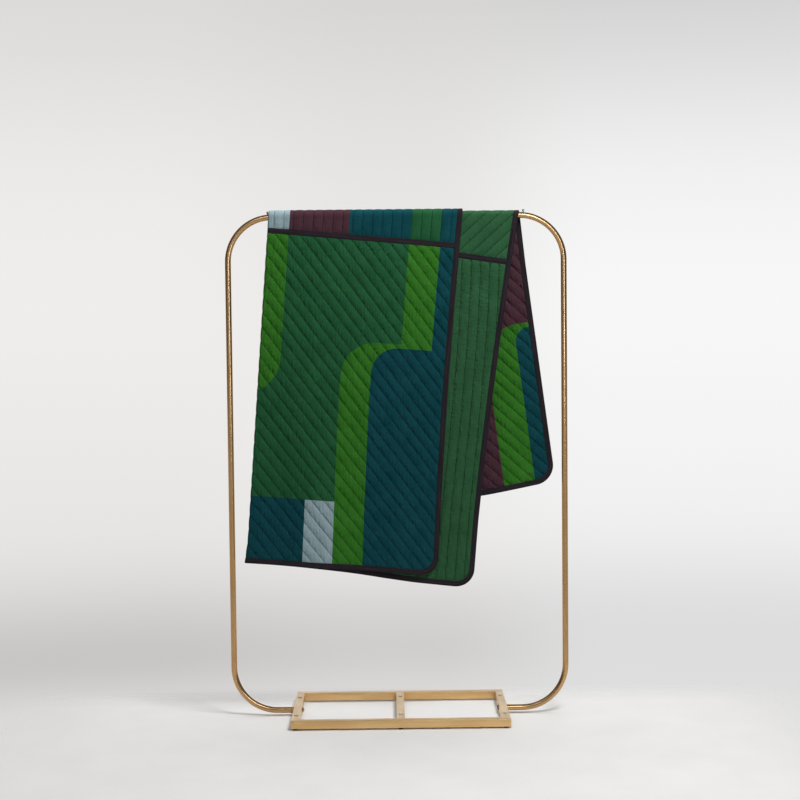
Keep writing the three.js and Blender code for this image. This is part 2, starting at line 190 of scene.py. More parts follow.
# ------------------------------------------------------------------ cloth materials
def cloth_material(name, rgb, seed, sheen=0.03, dark=0.62):
    """Plain-woven cotton, quilted. The map "cloth" holds the flat cloth's own coordinates in metres and
    "stitch" holds the place across a quilted channel, in channel widths, and the distance along its line."""
    m, k, b = material(name)
    cloth = k.uv("cloth")
    U, V, _ = k.split(cloth)
    across, along, _ = k.split(k.uv("stitch"))
    # distance from the nearest line of stitching, in channel widths
    f = k.math("FRACT", across)
    d = k.math("MINIMUM", f, k.math("SUBTRACT", 1.0, f))
    crease_shade = k.smooth(d, 0.0, 0.06, 1.0, 0.0)
    # yarns of warp and weft, about 0.55 mm apart
    pitch = 2 * math.pi / 0.00055
    warp = k.math("SINE", k.math("MULTIPLY", U, pitch))
    weft = k.math("SINE", k.math("MULTIPLY", V, pitch))
    weave = k.math("MULTIPLY", warp, weft)
    slub = k.noise(k.mapping(cloth, scale=(900.0, 60.0, 1.0), loc=(seed, 0, 0)), 1.0, 3.0)
    slub2 = k.noise(k.mapping(cloth, scale=(60.0, 900.0, 1.0), loc=(0, seed, 0)), 1.0, 3.0)
    mottle = k.noise(k.mapping(cloth, loc=(seed, seed, 0)), 16.0, 4.0, 0.6)
    # small puckers that the stitching draws into the cloth, at a slant to its lines
    pk = k.noise(k.mapping(k.uv("stitch"), scale=(1.6, 120.0, 1.0), loc=(seed, 0.3, 0)), 1.0, 2.0, 0.55)
    pk2 = k.noise(k.mapping(cloth, scale=(135.0, 30.0, 1.0), rot=(0, 0, 0.16), loc=(seed, 0.7, 0)), 1.0, 2.5, 0.6)
    near = k.smooth(d, 0.0, 0.42, 1.0, 0.4)
    pucker = k.math("ADD", k.math("MULTIPLY", k.math("SUBTRACT", pk, 0.5), 0.5), k.math("MULTIPLY", k.math("SUBTRACT", pk2, 0.5), 0.9))
    # the cloth is drawn smooth where it comes over the rail
    calm = k.math("MULTIPLY", k.smooth(V, 1.04, 1.06), k.smooth(V, 1.22, 1.4, 1.0, 0.0))
    pucker = k.math("MULTIPLY", k.math("MULTIPLY", pucker, near), k.math("SUBTRACT", 1.0, k.math("MULTIPLY", calm, 0.6)))
    # the sewing thread shows as a row of short stitches lying in the crease
    run = k.math("FRACT", k.math("MULTIPLY", along, 1 / 0.0028))
    dash = k.math("MULTIPLY", k.smooth(run, 0.0, 0.12), k.smooth(run, 0.78, 0.9, 1.0, 0.0))
    thread = k.math("MULTIPLY", k.smooth(d, 0.006, 0.014, 1.0, 0.0), dash)

    base = srgb(*rgb)
    deep = tuple(c * dark for c in base[:3]) + (1.0,)
    pale = tuple(min(1.0, c * 1.16 + 0.004) for c in base[:3]) + (1.0,)
    low = tuple(c * 0.86 for c in base[:3]) + (1.0,)
    col = k.mix(k.remap(mottle, 0.3, 0.7, 0.0, 1.0), low, pale)
    col = k.mix(k.math("MULTIPLY", k.remap(k.math("ADD", slub, slub2), 0.75, 1.25, 0.0, 1.0), 0.35), col, deep)
    # painted shade: the low parts of the puckers darken the colour, besides their bump below
    col = k.mix(k.math("MULTIPLY", k.remap(pucker, -0.14, 0.14, 1.0, 0.0), 0.3), col, deep)
    # painted shade: the colour is darkened strongly along the stitched creases, where shade falls
    col = k.mix(k.math("MULTIPLY", crease_shade, 0.95), col, tuple(c * 0.26 for c in base[:3]) + (1.0,))
    col = k.mix(k.math("MULTIPLY", thread, 0.5), col, tuple(c * 0.9 for c in base[:3]) + (1.0,))
    k.link(col, b.inputs["Base Color"])
    k.link(k.remap(slub, 0.3, 0.7, 0.78, 0.93), b.inputs["Roughness"])
    b.inputs["Sheen Weight"].default_value = sheen
    b.inputs["Sheen Roughness"].default_value = 0.45
    b.inputs["Specular IOR Level"].default_value = 0.06
    n = k.bump(k.math("MULTIPLY", weave, 0.5), 0.35, 0.00012)
    n = k.bump(k.math("ADD", slub, slub2), 0.4, 0.00018, n)
    n = k.bump(pucker, 1.0, 0.0080, n)
    n = k.bump(thread, 0.6, 0.0004, n)
    k.link(n, b.inputs["Normal"])
    return m


def tape_material(name, rgb):
    """Bias tape of near-black cotton, top-stitched near its edges."""
    m, k, b = material(name)
    tape = k.uv("cloth")
    s, w, _ = k.split(tape)  # along the tape in metres, and across it in millimetres from its middle
    rib = k.math("SINE", k.math("MULTIPLY", k.math("ADD", s, k.math("MULTIPLY", w, 0.001)), 2 * math.pi / 0.0007))
    rib2 = k.math("SINE", k.math("MULTIPLY", k.math("SUBTRACT", s, k.math("MULTIPLY", w, 0.001)), 2 * math.pi / 0.0007))
    slub = k.noise(k.mapping(tape, scale=(500.0, 0.5, 1.0)), 1.0, 3.0)
    cockle = k.noise(k.mapping(tape, scale=(60.0, 0.08, 1.0)), 1.0, 2.0)
    base = srgb(*rgb)
    low = tuple(c * 0.6 for c in base[:3]) + (1.0,)
    pale = tuple(c * 1.5 + 0.003 for c in base[:3]) + (1.0,)
    col = k.mix(k.remap(k.noise(k.mapping(tape, scale=(9.0, 0.2, 1.0)), 1.0, 3.0), 0.3, 0.7, 0.0, 1.0), low, pale)
    col = k.mix(k.math("MULTIPLY", slub, 0.5), col, low)
    off = k.math("ABSOLUTE", k.math("SUBTRACT", k.math("ABSOLUTE", w), 6.3))
    run = k.math("FRACT", k.math("MULTIPLY", s, 1 / 0.0027))
    dash = k.math("MULTIPLY", k.smooth(run, 0.0, 0.12), k.smooth(run, 0.78, 0.9, 1.0, 0.0))
    thread = k.math("MULTIPLY", k.smooth(off, 0.15, 0.35, 1.0, 0.0), dash)
    ditch = k.smooth(off, 0.0, 1.1, 1.0, 0.0)
    # painted shade: the colour darkens in the stitched ditch, where shade falls
    col = k.mix(k.math("MULTIPLY", ditch, 0.5), col, tuple(c * 0.45 for c in base[:3]) + (1.0,))
    col = k.mix(k.math("MULTIPLY", thread, 0.5), col, pale)
    k.link(col, b.inputs["Base Color"])
    k.link(k.remap(slub, 0.3, 0.7, 0.72, 0.9), b.inputs["Roughness"])
    b.inputs["Sheen Weight"].default_value = 0.04
    b.inputs["Sheen Roughness"].default_value = 0.4
    b.inputs["Specular IOR Level"].default_value = 0.15
    n = k.bump(k.math("MULTIPLY", rib, rib2), 0.35, 0.00012)
    n = k.bump(cockle, 0.7, 0.0012, n)
    n = k.bump(k.math("SUBTRACT", thread, ditch), 0.6, 0.0005, n)
    k.link(n, b.inputs["Normal"])
    return m


# ------------------------------------------------------------------ metal, rubber
def brass_material(name, axis, rgb=(196, 157, 108), rough=0.18, seed=0.0):
    """Brushed brass-finish steel, lacquered. Brushing runs along axis (0, 1 or 2); "uv" takes the map "tube"."""
    m, k, b = material(name)
    if axis == "uv":
        v = k.uv("tube")
        fine = k.mapping(v, scale=(14.0, 2600.0, 1.0), loc=(seed, 0, 0))
        mid = k.mapping(v, scale=(5.0, 500.0, 1.0), loc=(seed, 3, 0))
        blotch = k.mapping(v, scale=(6.0, 30.0, 1.0), loc=(seed, 7, 0))
    else:
        v = k.node("ShaderNodeTexCoord").outputs["Object"]
        s = [2600.0, 2600.0, 2600.0]
        s[axis] = 14.0
        q = [500.0, 500.0, 500.0]
        q[axis] = 5.0
        r = [30.0, 30.0, 30.0]
        r[axis] = 6.0
        fine = k.mapping(v, scale=s, loc=(seed, seed, seed))
        mid = k.mapping(v, scale=q, loc=(seed, 3, seed))
        blotch = k.mapping(v, scale=r, loc=(seed, 7, seed))
    nf = k.noise(fine, 1.0, 2.0)
    nm = k.noise(mid, 1.0, 3.0)
    nb = k.noise(blotch, 1.0, 4.0, 0.6)
    base = srgb(*rgb)
    low = (base[0] * 0.84, base[1] * 0.78, base[2] * 0.68, 1.0)
    pale = (min(1, base[0] * 1.08), min(1, base[1] * 1.09), min(1, base[2] * 1.14), 1.0)
    col = k.mix(k.remap(nb, 0.36, 0.66, 0.0, 1.0), low, base)
    col = k.mix(k.math("MULTIPLY", k.remap(nm, 0.35, 0.65, 0.0, 1.0), 0.45), col, pale)
    k.link(col, b.inputs["Base Color"])
    b.inputs["Metallic"].default_value = 1.0
    rr = k.math("ADD", k.remap(nf, 0.3, 0.7, rough - 0.04, rough + 0.06), k.remap(nb, 0.4, 0.7, 0.05, 0.0))
    k.link(rr, b.inputs["Roughness"])
    n = k.bump(nf, 0.05, 0.00004)
    n = k.bump(nm, 0.02, 0.0001, n)
    k.link(n, b.inputs["Normal"])
    b.inputs["Coat Weight"].default_value = 0.15
    b.inputs["Coat Roughness"].default_value = 0.3
    return m


def steel_material(name, rgb=(168, 166, 160), rough=0.35):
    m, k, b = material(name)
    v = k.node("ShaderNodeTexCoord").outputs["Object"]
    nf = k.noise(k.mapping(v, scale=(1500.0, 1500.0, 1500.0)), 1.0, 2.0)
    nb = k.noise(v, 60.0, 3.0)
    base = srgb(*rgb)
    low = tuple(c * 0.6 for c in base[:3]) + (1.0,)
    k.link(k.mix(k.remap(nb, 0.35, 0.65, 0.0, 1.0), low, base), b.inputs["Base Color"])
    b.inputs["Metallic"].default_value = 1.0
    k.link(k.remap(nf, 0.3, 0.7, rough - 0.07, rough + 0.1), b.inputs["Roughness"])
    k.link(k.bump(nf, 0.15, 0.00006), b.inputs["Normal"])
    return m


def rubber_material(name, rgb, rough=0.75, through=0.0):
    m, k, b = material(name)
    v = k.node("ShaderNodeTexCoord").outputs["Object"]
    grain = k.noise(v, 2600.0, 3.0)
    wear = k.noise(v, 240.0, 3.0)
    base = srgb(*rgb)
    low = tuple(c * 0.72 for c in base[:3]) + (1.0,)
    k.link(k.mix(k.remap(wear, 0.35, 0.65, 0.0, 1.0), low, base), b.inputs["Base Color"])
    k.link(k.remap(grain, 0.3, 0.7, rough - 0.08, rough + 0.08), b.inputs["Roughness"])
    k.link(k.bump(grain, 0.3, 0.0001), b.inputs["Normal"])
    if through:
        b.inputs["Subsurface Weight"].default_value = through
        b.inputs["Subsurface Radius"].default_value = (0.003, 0.003, 0.003)
        b.inputs["Subsurface Scale"].default_value = 1.0
    return m


# ------------------------------------------------------------------ the quilt's drape
TURN_R = 16.45
HALF = TURN_R * math.pi / 2
RAIL_Z = 1588.0
LAYER = 3.4  # from the common radius to the middle of each layer
FOLD_X, FOLD_IN = -398.4, 6.65
TA, TB = math.radians(4.45), math.radians(7.54)
CA, SA, CB, SB = math.cos(TA), math.sin(TA), math.cos(TB), math.sin(TB)
INNER_X = 390.0
U_A = 609.0 - FOLD_IN  # the hairpin turn of the folded edge starts here
U_B = U_A + LAYER * math.pi  # and ends here
W_, L_ = 1400.0, 2100.0  # the quilt laid flat


def sstep(x):
    x = np.clip(x, 0, 1)
    return x * x * (3 - 2 * x)


def length_a(v):
    return np.where(v < 1050, 1121 - v * (1050.5 / 1050), 70.5 - (v - 1050) * (1040.5 / 1050))


def length_b(v):
    return np.where(v < 1050, 1222 - v * (1049.5 / 1050), 172.5 - (v - 1050) * (1060.5 / 1050))


def spread(U, v):
    """Where a point of the flat quilt lies: X along the rail, and P, the distance along the cloth from the
    crown of the rail, positive to the front. Millimetres."""
    U, v = np.asarray(U, float), np.asarray(v, float)
    w = 609.0 - U
    ba = length_a(v)
    Xa = FOLD_X + w * CA - ba * SA
    Pa = w * SA + ba * CA
    # the outer layer's front drop draws in a little at mid height, and spreads again at its hem
    t = np.clip(w / 609.0, 0, 1)
    front = np.clip(v / 1150.0, 0, 1)
    draw = np.where(v < 1150, np.sin(math.pi * front), 0.0)
    Xa = Xa - 7.5 * draw * t
    Xa = Xa + 10.0 * np.clip(1 - v / 600.0, 0, 1) ** 1.5 * np.sin(math.pi * t)
    # its rear drop does the same
    back = np.clip((v - 1150.0) / 950.0, 0, 1)
    Xa = Xa - 7.0 * np.sin(math.pi * back) * t

    e = W_ - U
    bb = length_b(v)
    Xb = INNER_X - e * CB - bb * SB
    Pb = -e * SB + bb * CB
    Xb = Xb - 9.5 * np.where(v < 1200, np.sin(math.pi * np.clip(v / 1200.0, 0, 1)), 0.0) * np.clip(1 - e / 600, 0, 1)
    # the rear drop's outer corner hangs a little high
    lift = np.clip((v - 1500) / 600.0, 0, 1) * np.clip(1 - e / 300, 0, 1)
    Pb = Pb + 8.0 * lift - 6.0 * np.clip((v - 1600) / 500.0, 0, 1) * np.clip(e / 220.0, 0, 1)
    Pb = Pb - 4.5 * np.clip(1 - v / 500.0, 0, 1) * np.clip(1 - e / 300, 0, 1)
    Pb = Pb + 5.0 * np.interp(v, [500.0, 1050.0, 1250.0], [0.0, 1.0, 0.0]) * np.clip(1 - e / 260, 0, 1)
    Xb = Xb + (5.0 * np.clip(1 - v / 220.0, 0, 1) - 3.0 * np.clip((v - 1250) / 150.0, 0, 1)) * np.clip(1 - e / 400, 0, 1)
    # the folded edge flares out at its front hem
    flare = 6.0 * np.clip(1 - v / 90.0, 0, 1) ** 1.5
    Xa = Xa - flare * np.clip(1 - w / 160.0, 0, 1)
    # the cross seam runs a little steeper than the quilt's own slant
    steep = np.interp(v, [0.0, 600.0, 1050.0, 1350.0], [0.0, 0.5, 1.0, 0.0])
    Pa = Pa + steep * (7.5 * t - 3.0)
    wi = FOLD_IN + (U - U_B)
    Xf = FOLD_X + wi * CA - ba * SA - flare
    Pf = wi * SA + ba * CA - 3.0 * steep
    s = np.clip((U - U_B) / 600.0, 0, 1)
    s = s - 0.35 * np.sin(2 * math.pi * s) / (2 * math.pi)
    Xb = Xf * (1 - s) + Xb * s
    Pb = Pf * (1 - s) + Pb * s
    # inside the hairpin
    Xh = FOLD_X + FOLD_IN * CA - ba * SA - flare * (1 - FOLD_IN / 160.0)
    Ph = FOLD_IN * SA + ba * CA - 3.0 * steep
    X = np.where(U <= U_A, Xa, np.where(U >= U_B, Xb, Xh))
    P = np.where(U <= U_A, Pa, np.where(U >= U_B, Pb, Ph))
    return X, P


def sway(X, P, outer):
    """How far a drop swings clear of the plumb plane, always away from the rack."""
    d = np.maximum(np.abs(P) - HALF, 0)
    ramp = sstep(d / 420.0)
    g = np.clip(d / 1150.0, 0, 1.1)
    front = P > 0
    f = g * (6.0 + 5.0 * np.sin(2 * math.pi * (X + 0.30 * d) / 395.0 + 0.9))
    f = f + ramp * (1.9 + 1.8 * np.sin(2 * math.pi * (X - 0.10 * d) / 228.0 + 2.1) * np.cos(d / 330.0 + 0.4))
    r = g * (7.0 + 6.0 * np.sin(2 * math.pi * (X - 0.22 * d) / 350.0 + 2.4))
    r = r + ramp * (2.1 + 2.0 * np.sin(2 * math.pi * (X + 0.15 * d) / 214.0 + 0.2) * np.cos(d / 290.0 + 1.1))
    both = np.where(front, f, r)
    # the outer layer hangs a little in front of the inner one, more towards its hem
    gap = ramp * (1.2 + 1.1 * np.sin(2 * math.pi * (X + 0.45 * d) / 305.0 + 4.0)) + g * g * (3.2 + 2.2 * np.sin(2 * math.pi * X / 280.0 + 1.7))
    return both + outer * gap


def place(U, v, n):
    """The point n mm off the middle of the quilt, towards its patchwork face, in the row frame in metres."""
    U, v, n = (np.asarray(q, float) for q in (U, v, n))
    U, v, n = np.broadcast_arrays(U, v, n)
    X, P = spread(U, v)
    phi = np.clip((U - U_A) / LAYER, 0, math.pi)
    rad = LAYER + n
    r = TURN_R + rad * np.cos(phi)
    side = -rad * np.sin(phi)  # along the rail, away from the quilt
    X = X + side * CA
    P = P + side * SA
    over = np.abs(P) < HALF
    a = np.where(over, P / TURN_R, 0.0)
    y = np.where(over, -r * np.sin(a), -np.sign(P) * r)
    z = np.where(over, RAIL_Z + r * np.cos(a), RAIL_Z - (np.abs(P) - HALF))
    outer = 0.5 + 0.5 * np.cos(phi)
    # near the fold the gap between the layers closes
    near = np.where(U <= U_A, sstep((U_A - U) / 160.0), np.where(U >= U_B, 1.0, 0.0))
    s = sway(X, P, outer * near)
    y = y - np.sign(P) * s
    return np.stack([X, y, z], -1) * MM


# ------------------------------------------------------------------ quilting lines and patchwork, on the flat quilt
def quarter(U, v):
    return np.where(U < 700, 0, 2) + np.where(v < 1050, 0, 1)  # 0 A lower, 1 A upper, 2 B lower, 3 B upper


def bend(v):
    return 33.5 * (1 - np.clip((v - 145.0) / 877.0, -0.17, 1.1) ** 3)


KV = {0: (-0.024792, 0.021852, 0.6893), 1: (1 / 30.9, 0.0, -0.0615), 3: (0.0252, -0.02117, 0.481)}


def phase(U, v, q):
    """Channels crossed: a whole number on each line of stitching."""
    if q == 2:
        return (U - 1335.0 - bend(v)) / 29.7
    a, b, c = KV[q]
    return a * U + b * v + c


CORNER = 60.0
EDGE_IN = 6.0  # the quilted cloth ends this far inside the bound edge


def edge_distance(U, v):
    """Distance in from the quilt's outline, with its rounded corners."""
    du = np.minimum(U, W_ - U)
    dv = np.minimum(v, L_ - v)
    inner = (du < CORNER) & (dv < CORNER)
    corner = CORNER - np.hypot(CORNER - du, CORNER - dv)
    return np.where(inner, corner, np.minimum(du, dv))


PUFF_T = np.array([0.0, 0.035, 0.16, 0.32, 0.5, 0.68, 0.84, 0.965, 1.0])
PUFF_H = np.array([0.0, 0.20, 0.585, 0.87, 1.0, 0.87, 0.585, 0.20, 0.0])
H_LOW, H_HIGH, H_SEWN = 0.5, 3.2, 1.1


def half_thickness(U, v):
    q = quarter(U, v)
    ph = np.zeros_like(U)
    for i in range(4):
        m = q == i
        if m.any():
            ph[m] = phase(U[m], v[m], i)
    puff = np.interp(ph - np.floor(ph), PUFF_T, PUFF_H)
    # the loft varies a little along each channel
    loft = 1.0 + 0.07 * np.sin(v / 47.0 + U / 61.0) * np.sin(U / 38.0 - v / 83.0 + 1.3)
    h = H_LOW + (H_HIGH - H_LOW) * np.minimum(puff * loft, 1.0)
    seam = np.minimum(np.abs(U - 700.0), np.abs(v - 1050.0)) - 8.5
    rim = edge_distance(U, v) - 17.0
    near = np.minimum(seam, rim)
    k = np.interp(near, [0.0, 1.5, 4.0, 8.0], [0.0, 0.55, 0.88, 1.0])
    h = H_SEWN + (h - H_SEWN) * k
    # the channels are drawn flatter where the cloth is stretched over the rail and round its fold
    _, P = spread(U, v)
    over = np.interp(np.abs(P), [0.0, 24.0, 70.0], [0.5, 0.6, 0.0])
    fold = np.interp(np.abs(U - (U_A + U_B) / 2), [0.0, 8.0, 22.0], [0.5, 0.45, 0.0])
    return h + (2.5 - h) * np.maximum(over, fold)


LIGHT, MAROON, TEAL, GREEN, LIME, BACK = range(6)


def colour_of(U, v):
    """The patch each point of the pieced face belongs to."""
    c = np.full(U.shape, GREEN)

    def put(mask, value):
        c[mask] = value

    def beyond(cu, cv, r, su, sv):
        # outside the rounded corner whose centre is (cu, cv), on its (su, sv) side
        return ((U - cu) * su > 0) & ((v - cv) * sv > 0) & (np.hypot(U - cu, v - cv) > r)

    left, low = U < 700, v < 1050
    # front of the outer layer, below the cross seam
    a = left & low
    put(a & (U > 540) & (v > 540) & ~beyond(650, 650, 110, -1, -1), LIME)
    put(a & (U > 61.5) & (U < 159.5) & (v > 700), LIME)
    put(a & (U < 345.5) & (v < 726) & ~beyond(235.5, 616, 110, 1, 1), LIME)
    put(a & (U < 249) & (v < 713) & ~beyond(167, 631, 82, 1, 1), TEAL)
    put(a & (U < 61.5), TEAL)
    put(a & (v < 215) & (U > 345.5) & (U < 438), LIGHT)
    put(a & (v < 215) & (U >= 438), TEAL)
    # over the rail and down the back
    b = left & ~low
    put(b & (U > 540), LIGHT)
    put(b & (U > 352) & (U <= 540), MAROON)
    put(b & (U > 158) & (U <= 352), TEAL)
    put(b & (U > 64) & (U <= 158), GREEN)
    put(b & (U <= 64), TEAL)
    put(b & (v > 1490) & (U > 352) & ~beyond(462, 1600, 110, -1, -1), GREEN)
    put(b & (v > 1490) & (U > 540) & ~beyond(650, 1600, 110, -1, -1), LIME)
    put(b & (U < 448) & (v > 1640) & ~beyond(338, 1750, 110, 1, -1), LIME)
    put(b & (U < 352) & (v > 1653) & ~beyond(270, 1735, 82, 1, -1), MAROON)
    put(b & (v > 1892) & (U > 448), TEAL)
    put(b & (v > 1892) & (U > 448) & (U < 534), LIGHT)
    # rear of the inner layer
    d = ~left & ~low
    put(d, MAROON)
    put(d & (v > 1583) & (U > 1235) & ~beyond(1345, 1693, 110, -1, -1), LIME)
    put(d & (v > 1598) & (U > 1335) & ~beyond(1380, 1643, 45, -1, -1), TEAL)
    put(d & (U < 1010), GREEN)
    put(d & (U < 920), TEAL)
    # front of the inner layer, facing in
    e = ~left & low
    put(e, GREEN)
    put(e & (U > 1290), TEAL)
    put(e & (U > 1190) & (U <= 1290), LIME)
    put(e & (U < 1000), MAROON)
    put(e & (U < 830), LIGHT)
    put(e & (v < 215) & (U < 1190) & (U > 1000), TEAL)
    return c


def arc(cu, cv, r, a0, a1, n=9):
    t = np.radians(np.linspace(a0, a1, n))
    return [(cu + r * math.cos(x), cv + r * math.sin(x)) for x in t]


# Every edge between two patches of the pieced face, so that no triangle lies across one.
SEAMS = [
    [(540, 1041), (540, 650)] + arc(650, 650, 110, 180, 270) + [(690, 540)],
    [(159.5, 1041), (159.5, 726)],
    [(61.5, 1041), (61.5, 713)],
    [(159.5, 726), (235.5, 726)] + arc(235.5, 616, 110, 90, 0) + [(345.5, 215), (345.5, 17)],
    [(17, 713), (167, 713)] + arc(167, 631, 82, 90, 0) + [(249, 17)],
    [(345.5, 215), (690, 215)],
    [(438, 215), (438, 17)],
    [(540, 1059), (540, 1600)],
    [(540, 1600)] + arc(650, 1600, 110, 180, 270) + [(690, 1490)],
    [(352, 1059), (352, 1600)] + arc(462, 1600, 110, 180, 270)[1:] + [(540, 1490)],
    [(540, 1490), (540, 1600)],
    [(352, 1600), (352, 1640)],
    [(158, 1059), (158, 1640)],
    [(64, 1059), (64, 1640)],
    [(17, 1640), (338, 1640)] + arc(338, 1750, 110, -90, 0) + [(448, 2083)],
    [(17, 1653), (270, 1653)] + arc(270, 1735, 82, -90, 0) + [(352, 2083)],
    [(448, 1892), (690, 1892)],
    [(534, 1892), (534, 2083)],
    [(540, 1600), (540, 1892)],
    [(1383, 1583), (1345, 1583)] + arc(1345, 1693, 110, 270, 180) + [(1235, 2083)],
    [(1383, 1598), (1380, 1598)] + arc(1380, 1643, 45, 270, 180) + [(1335, 2083)],
    [(1010, 1059), (1010, 2083)],
    [(920, 1059), (920, 2083)],
    [(1290, 17), (1290, 1041)],
    [(1190, 17), (1190, 1041)],
    [(1000, 17), (1000, 1041)],
    [(830, 17), (830, 1041)],
    [(1000, 215), (1190, 215)],
]


def outline(inset, step=9.0):
    """The quilt's outline, inset, anticlockwise from the middle of its front hem: points and inward normals."""
    r = CORNER - inset
    pts, nor = [], []

    def line(p, q, n):
        L = math.dist(p, q)
        ts = [0.0]
        while ts[-1] < L - 1e-6:
            x = np.array(p) + (np.array(q) - np.array(p)) * ts[-1] / L
            ts.append(min(L, ts[-1] + local_step(x[0], x[1], step)))
        if len(ts) > 2 and L - ts[-2] < 0.4 * step:
            ts.pop(-2)
        for t in ts[:-1]:
            pts.append((p[0] + (q[0] - p[0]) * t / L, p[1] + (q[1] - p[1]) * t / L))
            nor.append(n)

    def turn(cu, cv, a0):
        for i in range(12):
            a = math.radians(a0 + 90.0 * i / 12)
            pts.append((cu + r * math.cos(a), cv + r * math.sin(a)))
            nor.append((-math.cos(a), -math.sin(a)))

    c = CORNER
    line((c, inset), (W_ - c, inset), (0, 1))
    turn(W_ - c, c, -90)
    line((W_ - inset, c), (W_ - inset, L_ - c), (-1, 0))
    turn(W_ - c, L_ - c, 0)
    line((W_ - c, L_ - inset), (c, L_ - inset), (0, -1))
    turn(c, L_ - c, 90)
    line((inset, L_ - c), (inset, c), (1, 0))
    turn(c, c, 180)
    return pts, nor


def local_step(U, v, step):
    """Shorter steps where the cloth turns over the rail or round its fold."""
    _, P = spread(np.array([U]), np.array([v]))
    p = abs(float(P[0]))
    s = step
    if p < 34:
        s = min(s, 2.8)
    elif p < 60:
        s = min(s, 6.0)
    return s


def sample_line(p, q, step):
    p, q = np.array(p, float), np.array(q, float)
    L = float(np.linalg.norm(q - p))
    if L < 1e-6:
        return [tuple(p)]
    ts = [0.0]
    while ts[-1] < L - 1e-6:
        x = p + (q - p) * ts[-1] / L
        ts.append(min(L, ts[-1] + local_step(x[0], x[1], step)))
    if len(ts) > 2 and L - ts[-2] < 0.35 * step:
        ts.pop(-2)
    return [tuple(p + (q - p) * t / L) for t in ts]


def flat_mesh():
    """Triangles of the flat quilt, with their edges along the quilting lines, the channel crowns and the patches."""
    pts, edges = [], []

    def chain(points, close=False):
        n0 = len(pts)
        pts.extend(points)
        edges.extend((n0 + i, n0 + i + 1) for i in range(len(points) - 1))
        if close:
            edges.append((n0 + len(points) - 1, n0))

    rim, _ = outline(EDGE_IN, 12.0)
    chain(rim, True)
    for inset in (17.0, 18.5, 21.0, 25.0):
        ring, _ = outline(inset, 16.0)
        chain(ring, True)
    lo, hi = EDGE_IN + 0.5, EDGE_IN + 0.5
    for off in (0.0, 8.5, 10.0, 12.5):
        for s in ((1, -1) if off else (1,)):
            chain(sample_line((700 + s * off, lo), (700 + s * off, L_ - hi), 16.0))
            chain(sample_line((lo, 1050 + s * off), (W_ - hi, 1050 + s * off), 16.0))
    # the hairpin of the fold
    for i in range(9):
        u = U_A + (U_B - U_A) * i / 8
        chain(sample_line((u, lo), (u, L_ - hi), 14.0))
    for u in (U_A - 4.0, U_B + 4.0):
        chain(sample_line((u, lo), (u, L_ - hi), 14.0))
    for s in SEAMS:
        for p, q in zip(s[:-1], s[1:]):
            chain(sample_line(p, q, 14.0))
    # rows along the quilting
    boxes = {0: (9, 687.5, 9, 1037.5), 1: (9, 687.5, 1062.5, 2091), 2: (712.5, 1391, 9, 1037.5), 3: (712.5, 1391, 1062.5, 2091)}
    for q, (u0, u1, v0, v1) in boxes.items():
        cu, cv = (u0 + u1) / 2, (v0 + v1) / 2
        if q == 2:
            base = float(phase(np.array(u0), np.array(v0), 2)), float(phase(np.array(u1), np.array(v1), 2))
            levels = np.arange(math.floor(min(base)) - 2, math.ceil(max(base)) + 3)
            for lev in levels:
                for t in PUFF_T[:-1]:
                    line = []
                    for v in [p[1] for p in sample_line((cu, v0), (cu, v1), 15.0)]:
                        line.append((1335.0 + float(bend(v)) + (lev + t) * 29.7, v))
                    run = []
                    for p in line:
                        if u0 <= p[0] <= u1 and edge_distance(np.array(p[0]), np.array(p[1])) > 9:
                            run.append(p)
                        else:
                            if len(run) > 1:
                                chain(run)
                            run = []
                    if len(run) > 1:
                        chain(run)
            continue
        a, b, c = KV[q]
        k = math.hypot(a, b)
        nu, nv = a / k, b / k
        du, dv = -nv, nu
        corners = [a * x + b * y + c for x in (u0, u1) for y in (v0, v1)]
        for lev in range(math.floor(min(corners)), math.ceil(max(corners)) + 1):
            for t in PUFF_T[:-1]:
                # the line a U + b v + c = lev + t, clipped to the box
                s = (lev + t - (a * cu + b * cv + c)) / k
                ou, ov = cu + nu * s, cv + nv * s
                t0, t1 = -1e9, 1e9
                ok = True
                for o, d, x0, x1 in ((ou, du, u0, u1), (ov, dv, v0, v1)):
                    if abs(d) < 1e-12:
                        ok = ok and x0 <= o <= x1
                        continue
                    a0, a1 = sorted(((x0 - o) / d, (x1 - o) / d))
                    t0, t1 = max(t0, a0), min(t1, a1)
                if not ok or t1 - t0 < 4:
                    continue
                line = sample_line((ou + du * t0, ov + dv * t0), (ou + du * t1, ov + dv * t1), 15.0)
                run = []
                for p in line:
                    if edge_distance(np.array(p[0]), np.array(p[1])) > 9:
                        run.append(p)
                    else:
                        if len(run) > 1:
                            chain(run)
                        run = []
                if len(run) > 1:
                    chain(run)
    verts, _, faces, _, _, _ = delaunay_2d_cdt([Vector(p) for p in pts], edges, [], 0, 1e-3, False)
    P = np.array([(p.x, p.y) for p in verts])
    F = np.array([f for f in faces if len(f) == 3])
    a, b, c = P[F[:, 0]], P[F[:, 1]], P[F[:, 2]]
    area = (b[:, 0] - a[:, 0]) * (c[:, 1] - a[:, 1]) - (b[:, 1] - a[:, 1]) * (c[:, 0] - a[:, 0])
    F[area < 0] = F[area < 0][:, ::-1]
    F = F[np.abs(area) > 1e-4]
    return P, F


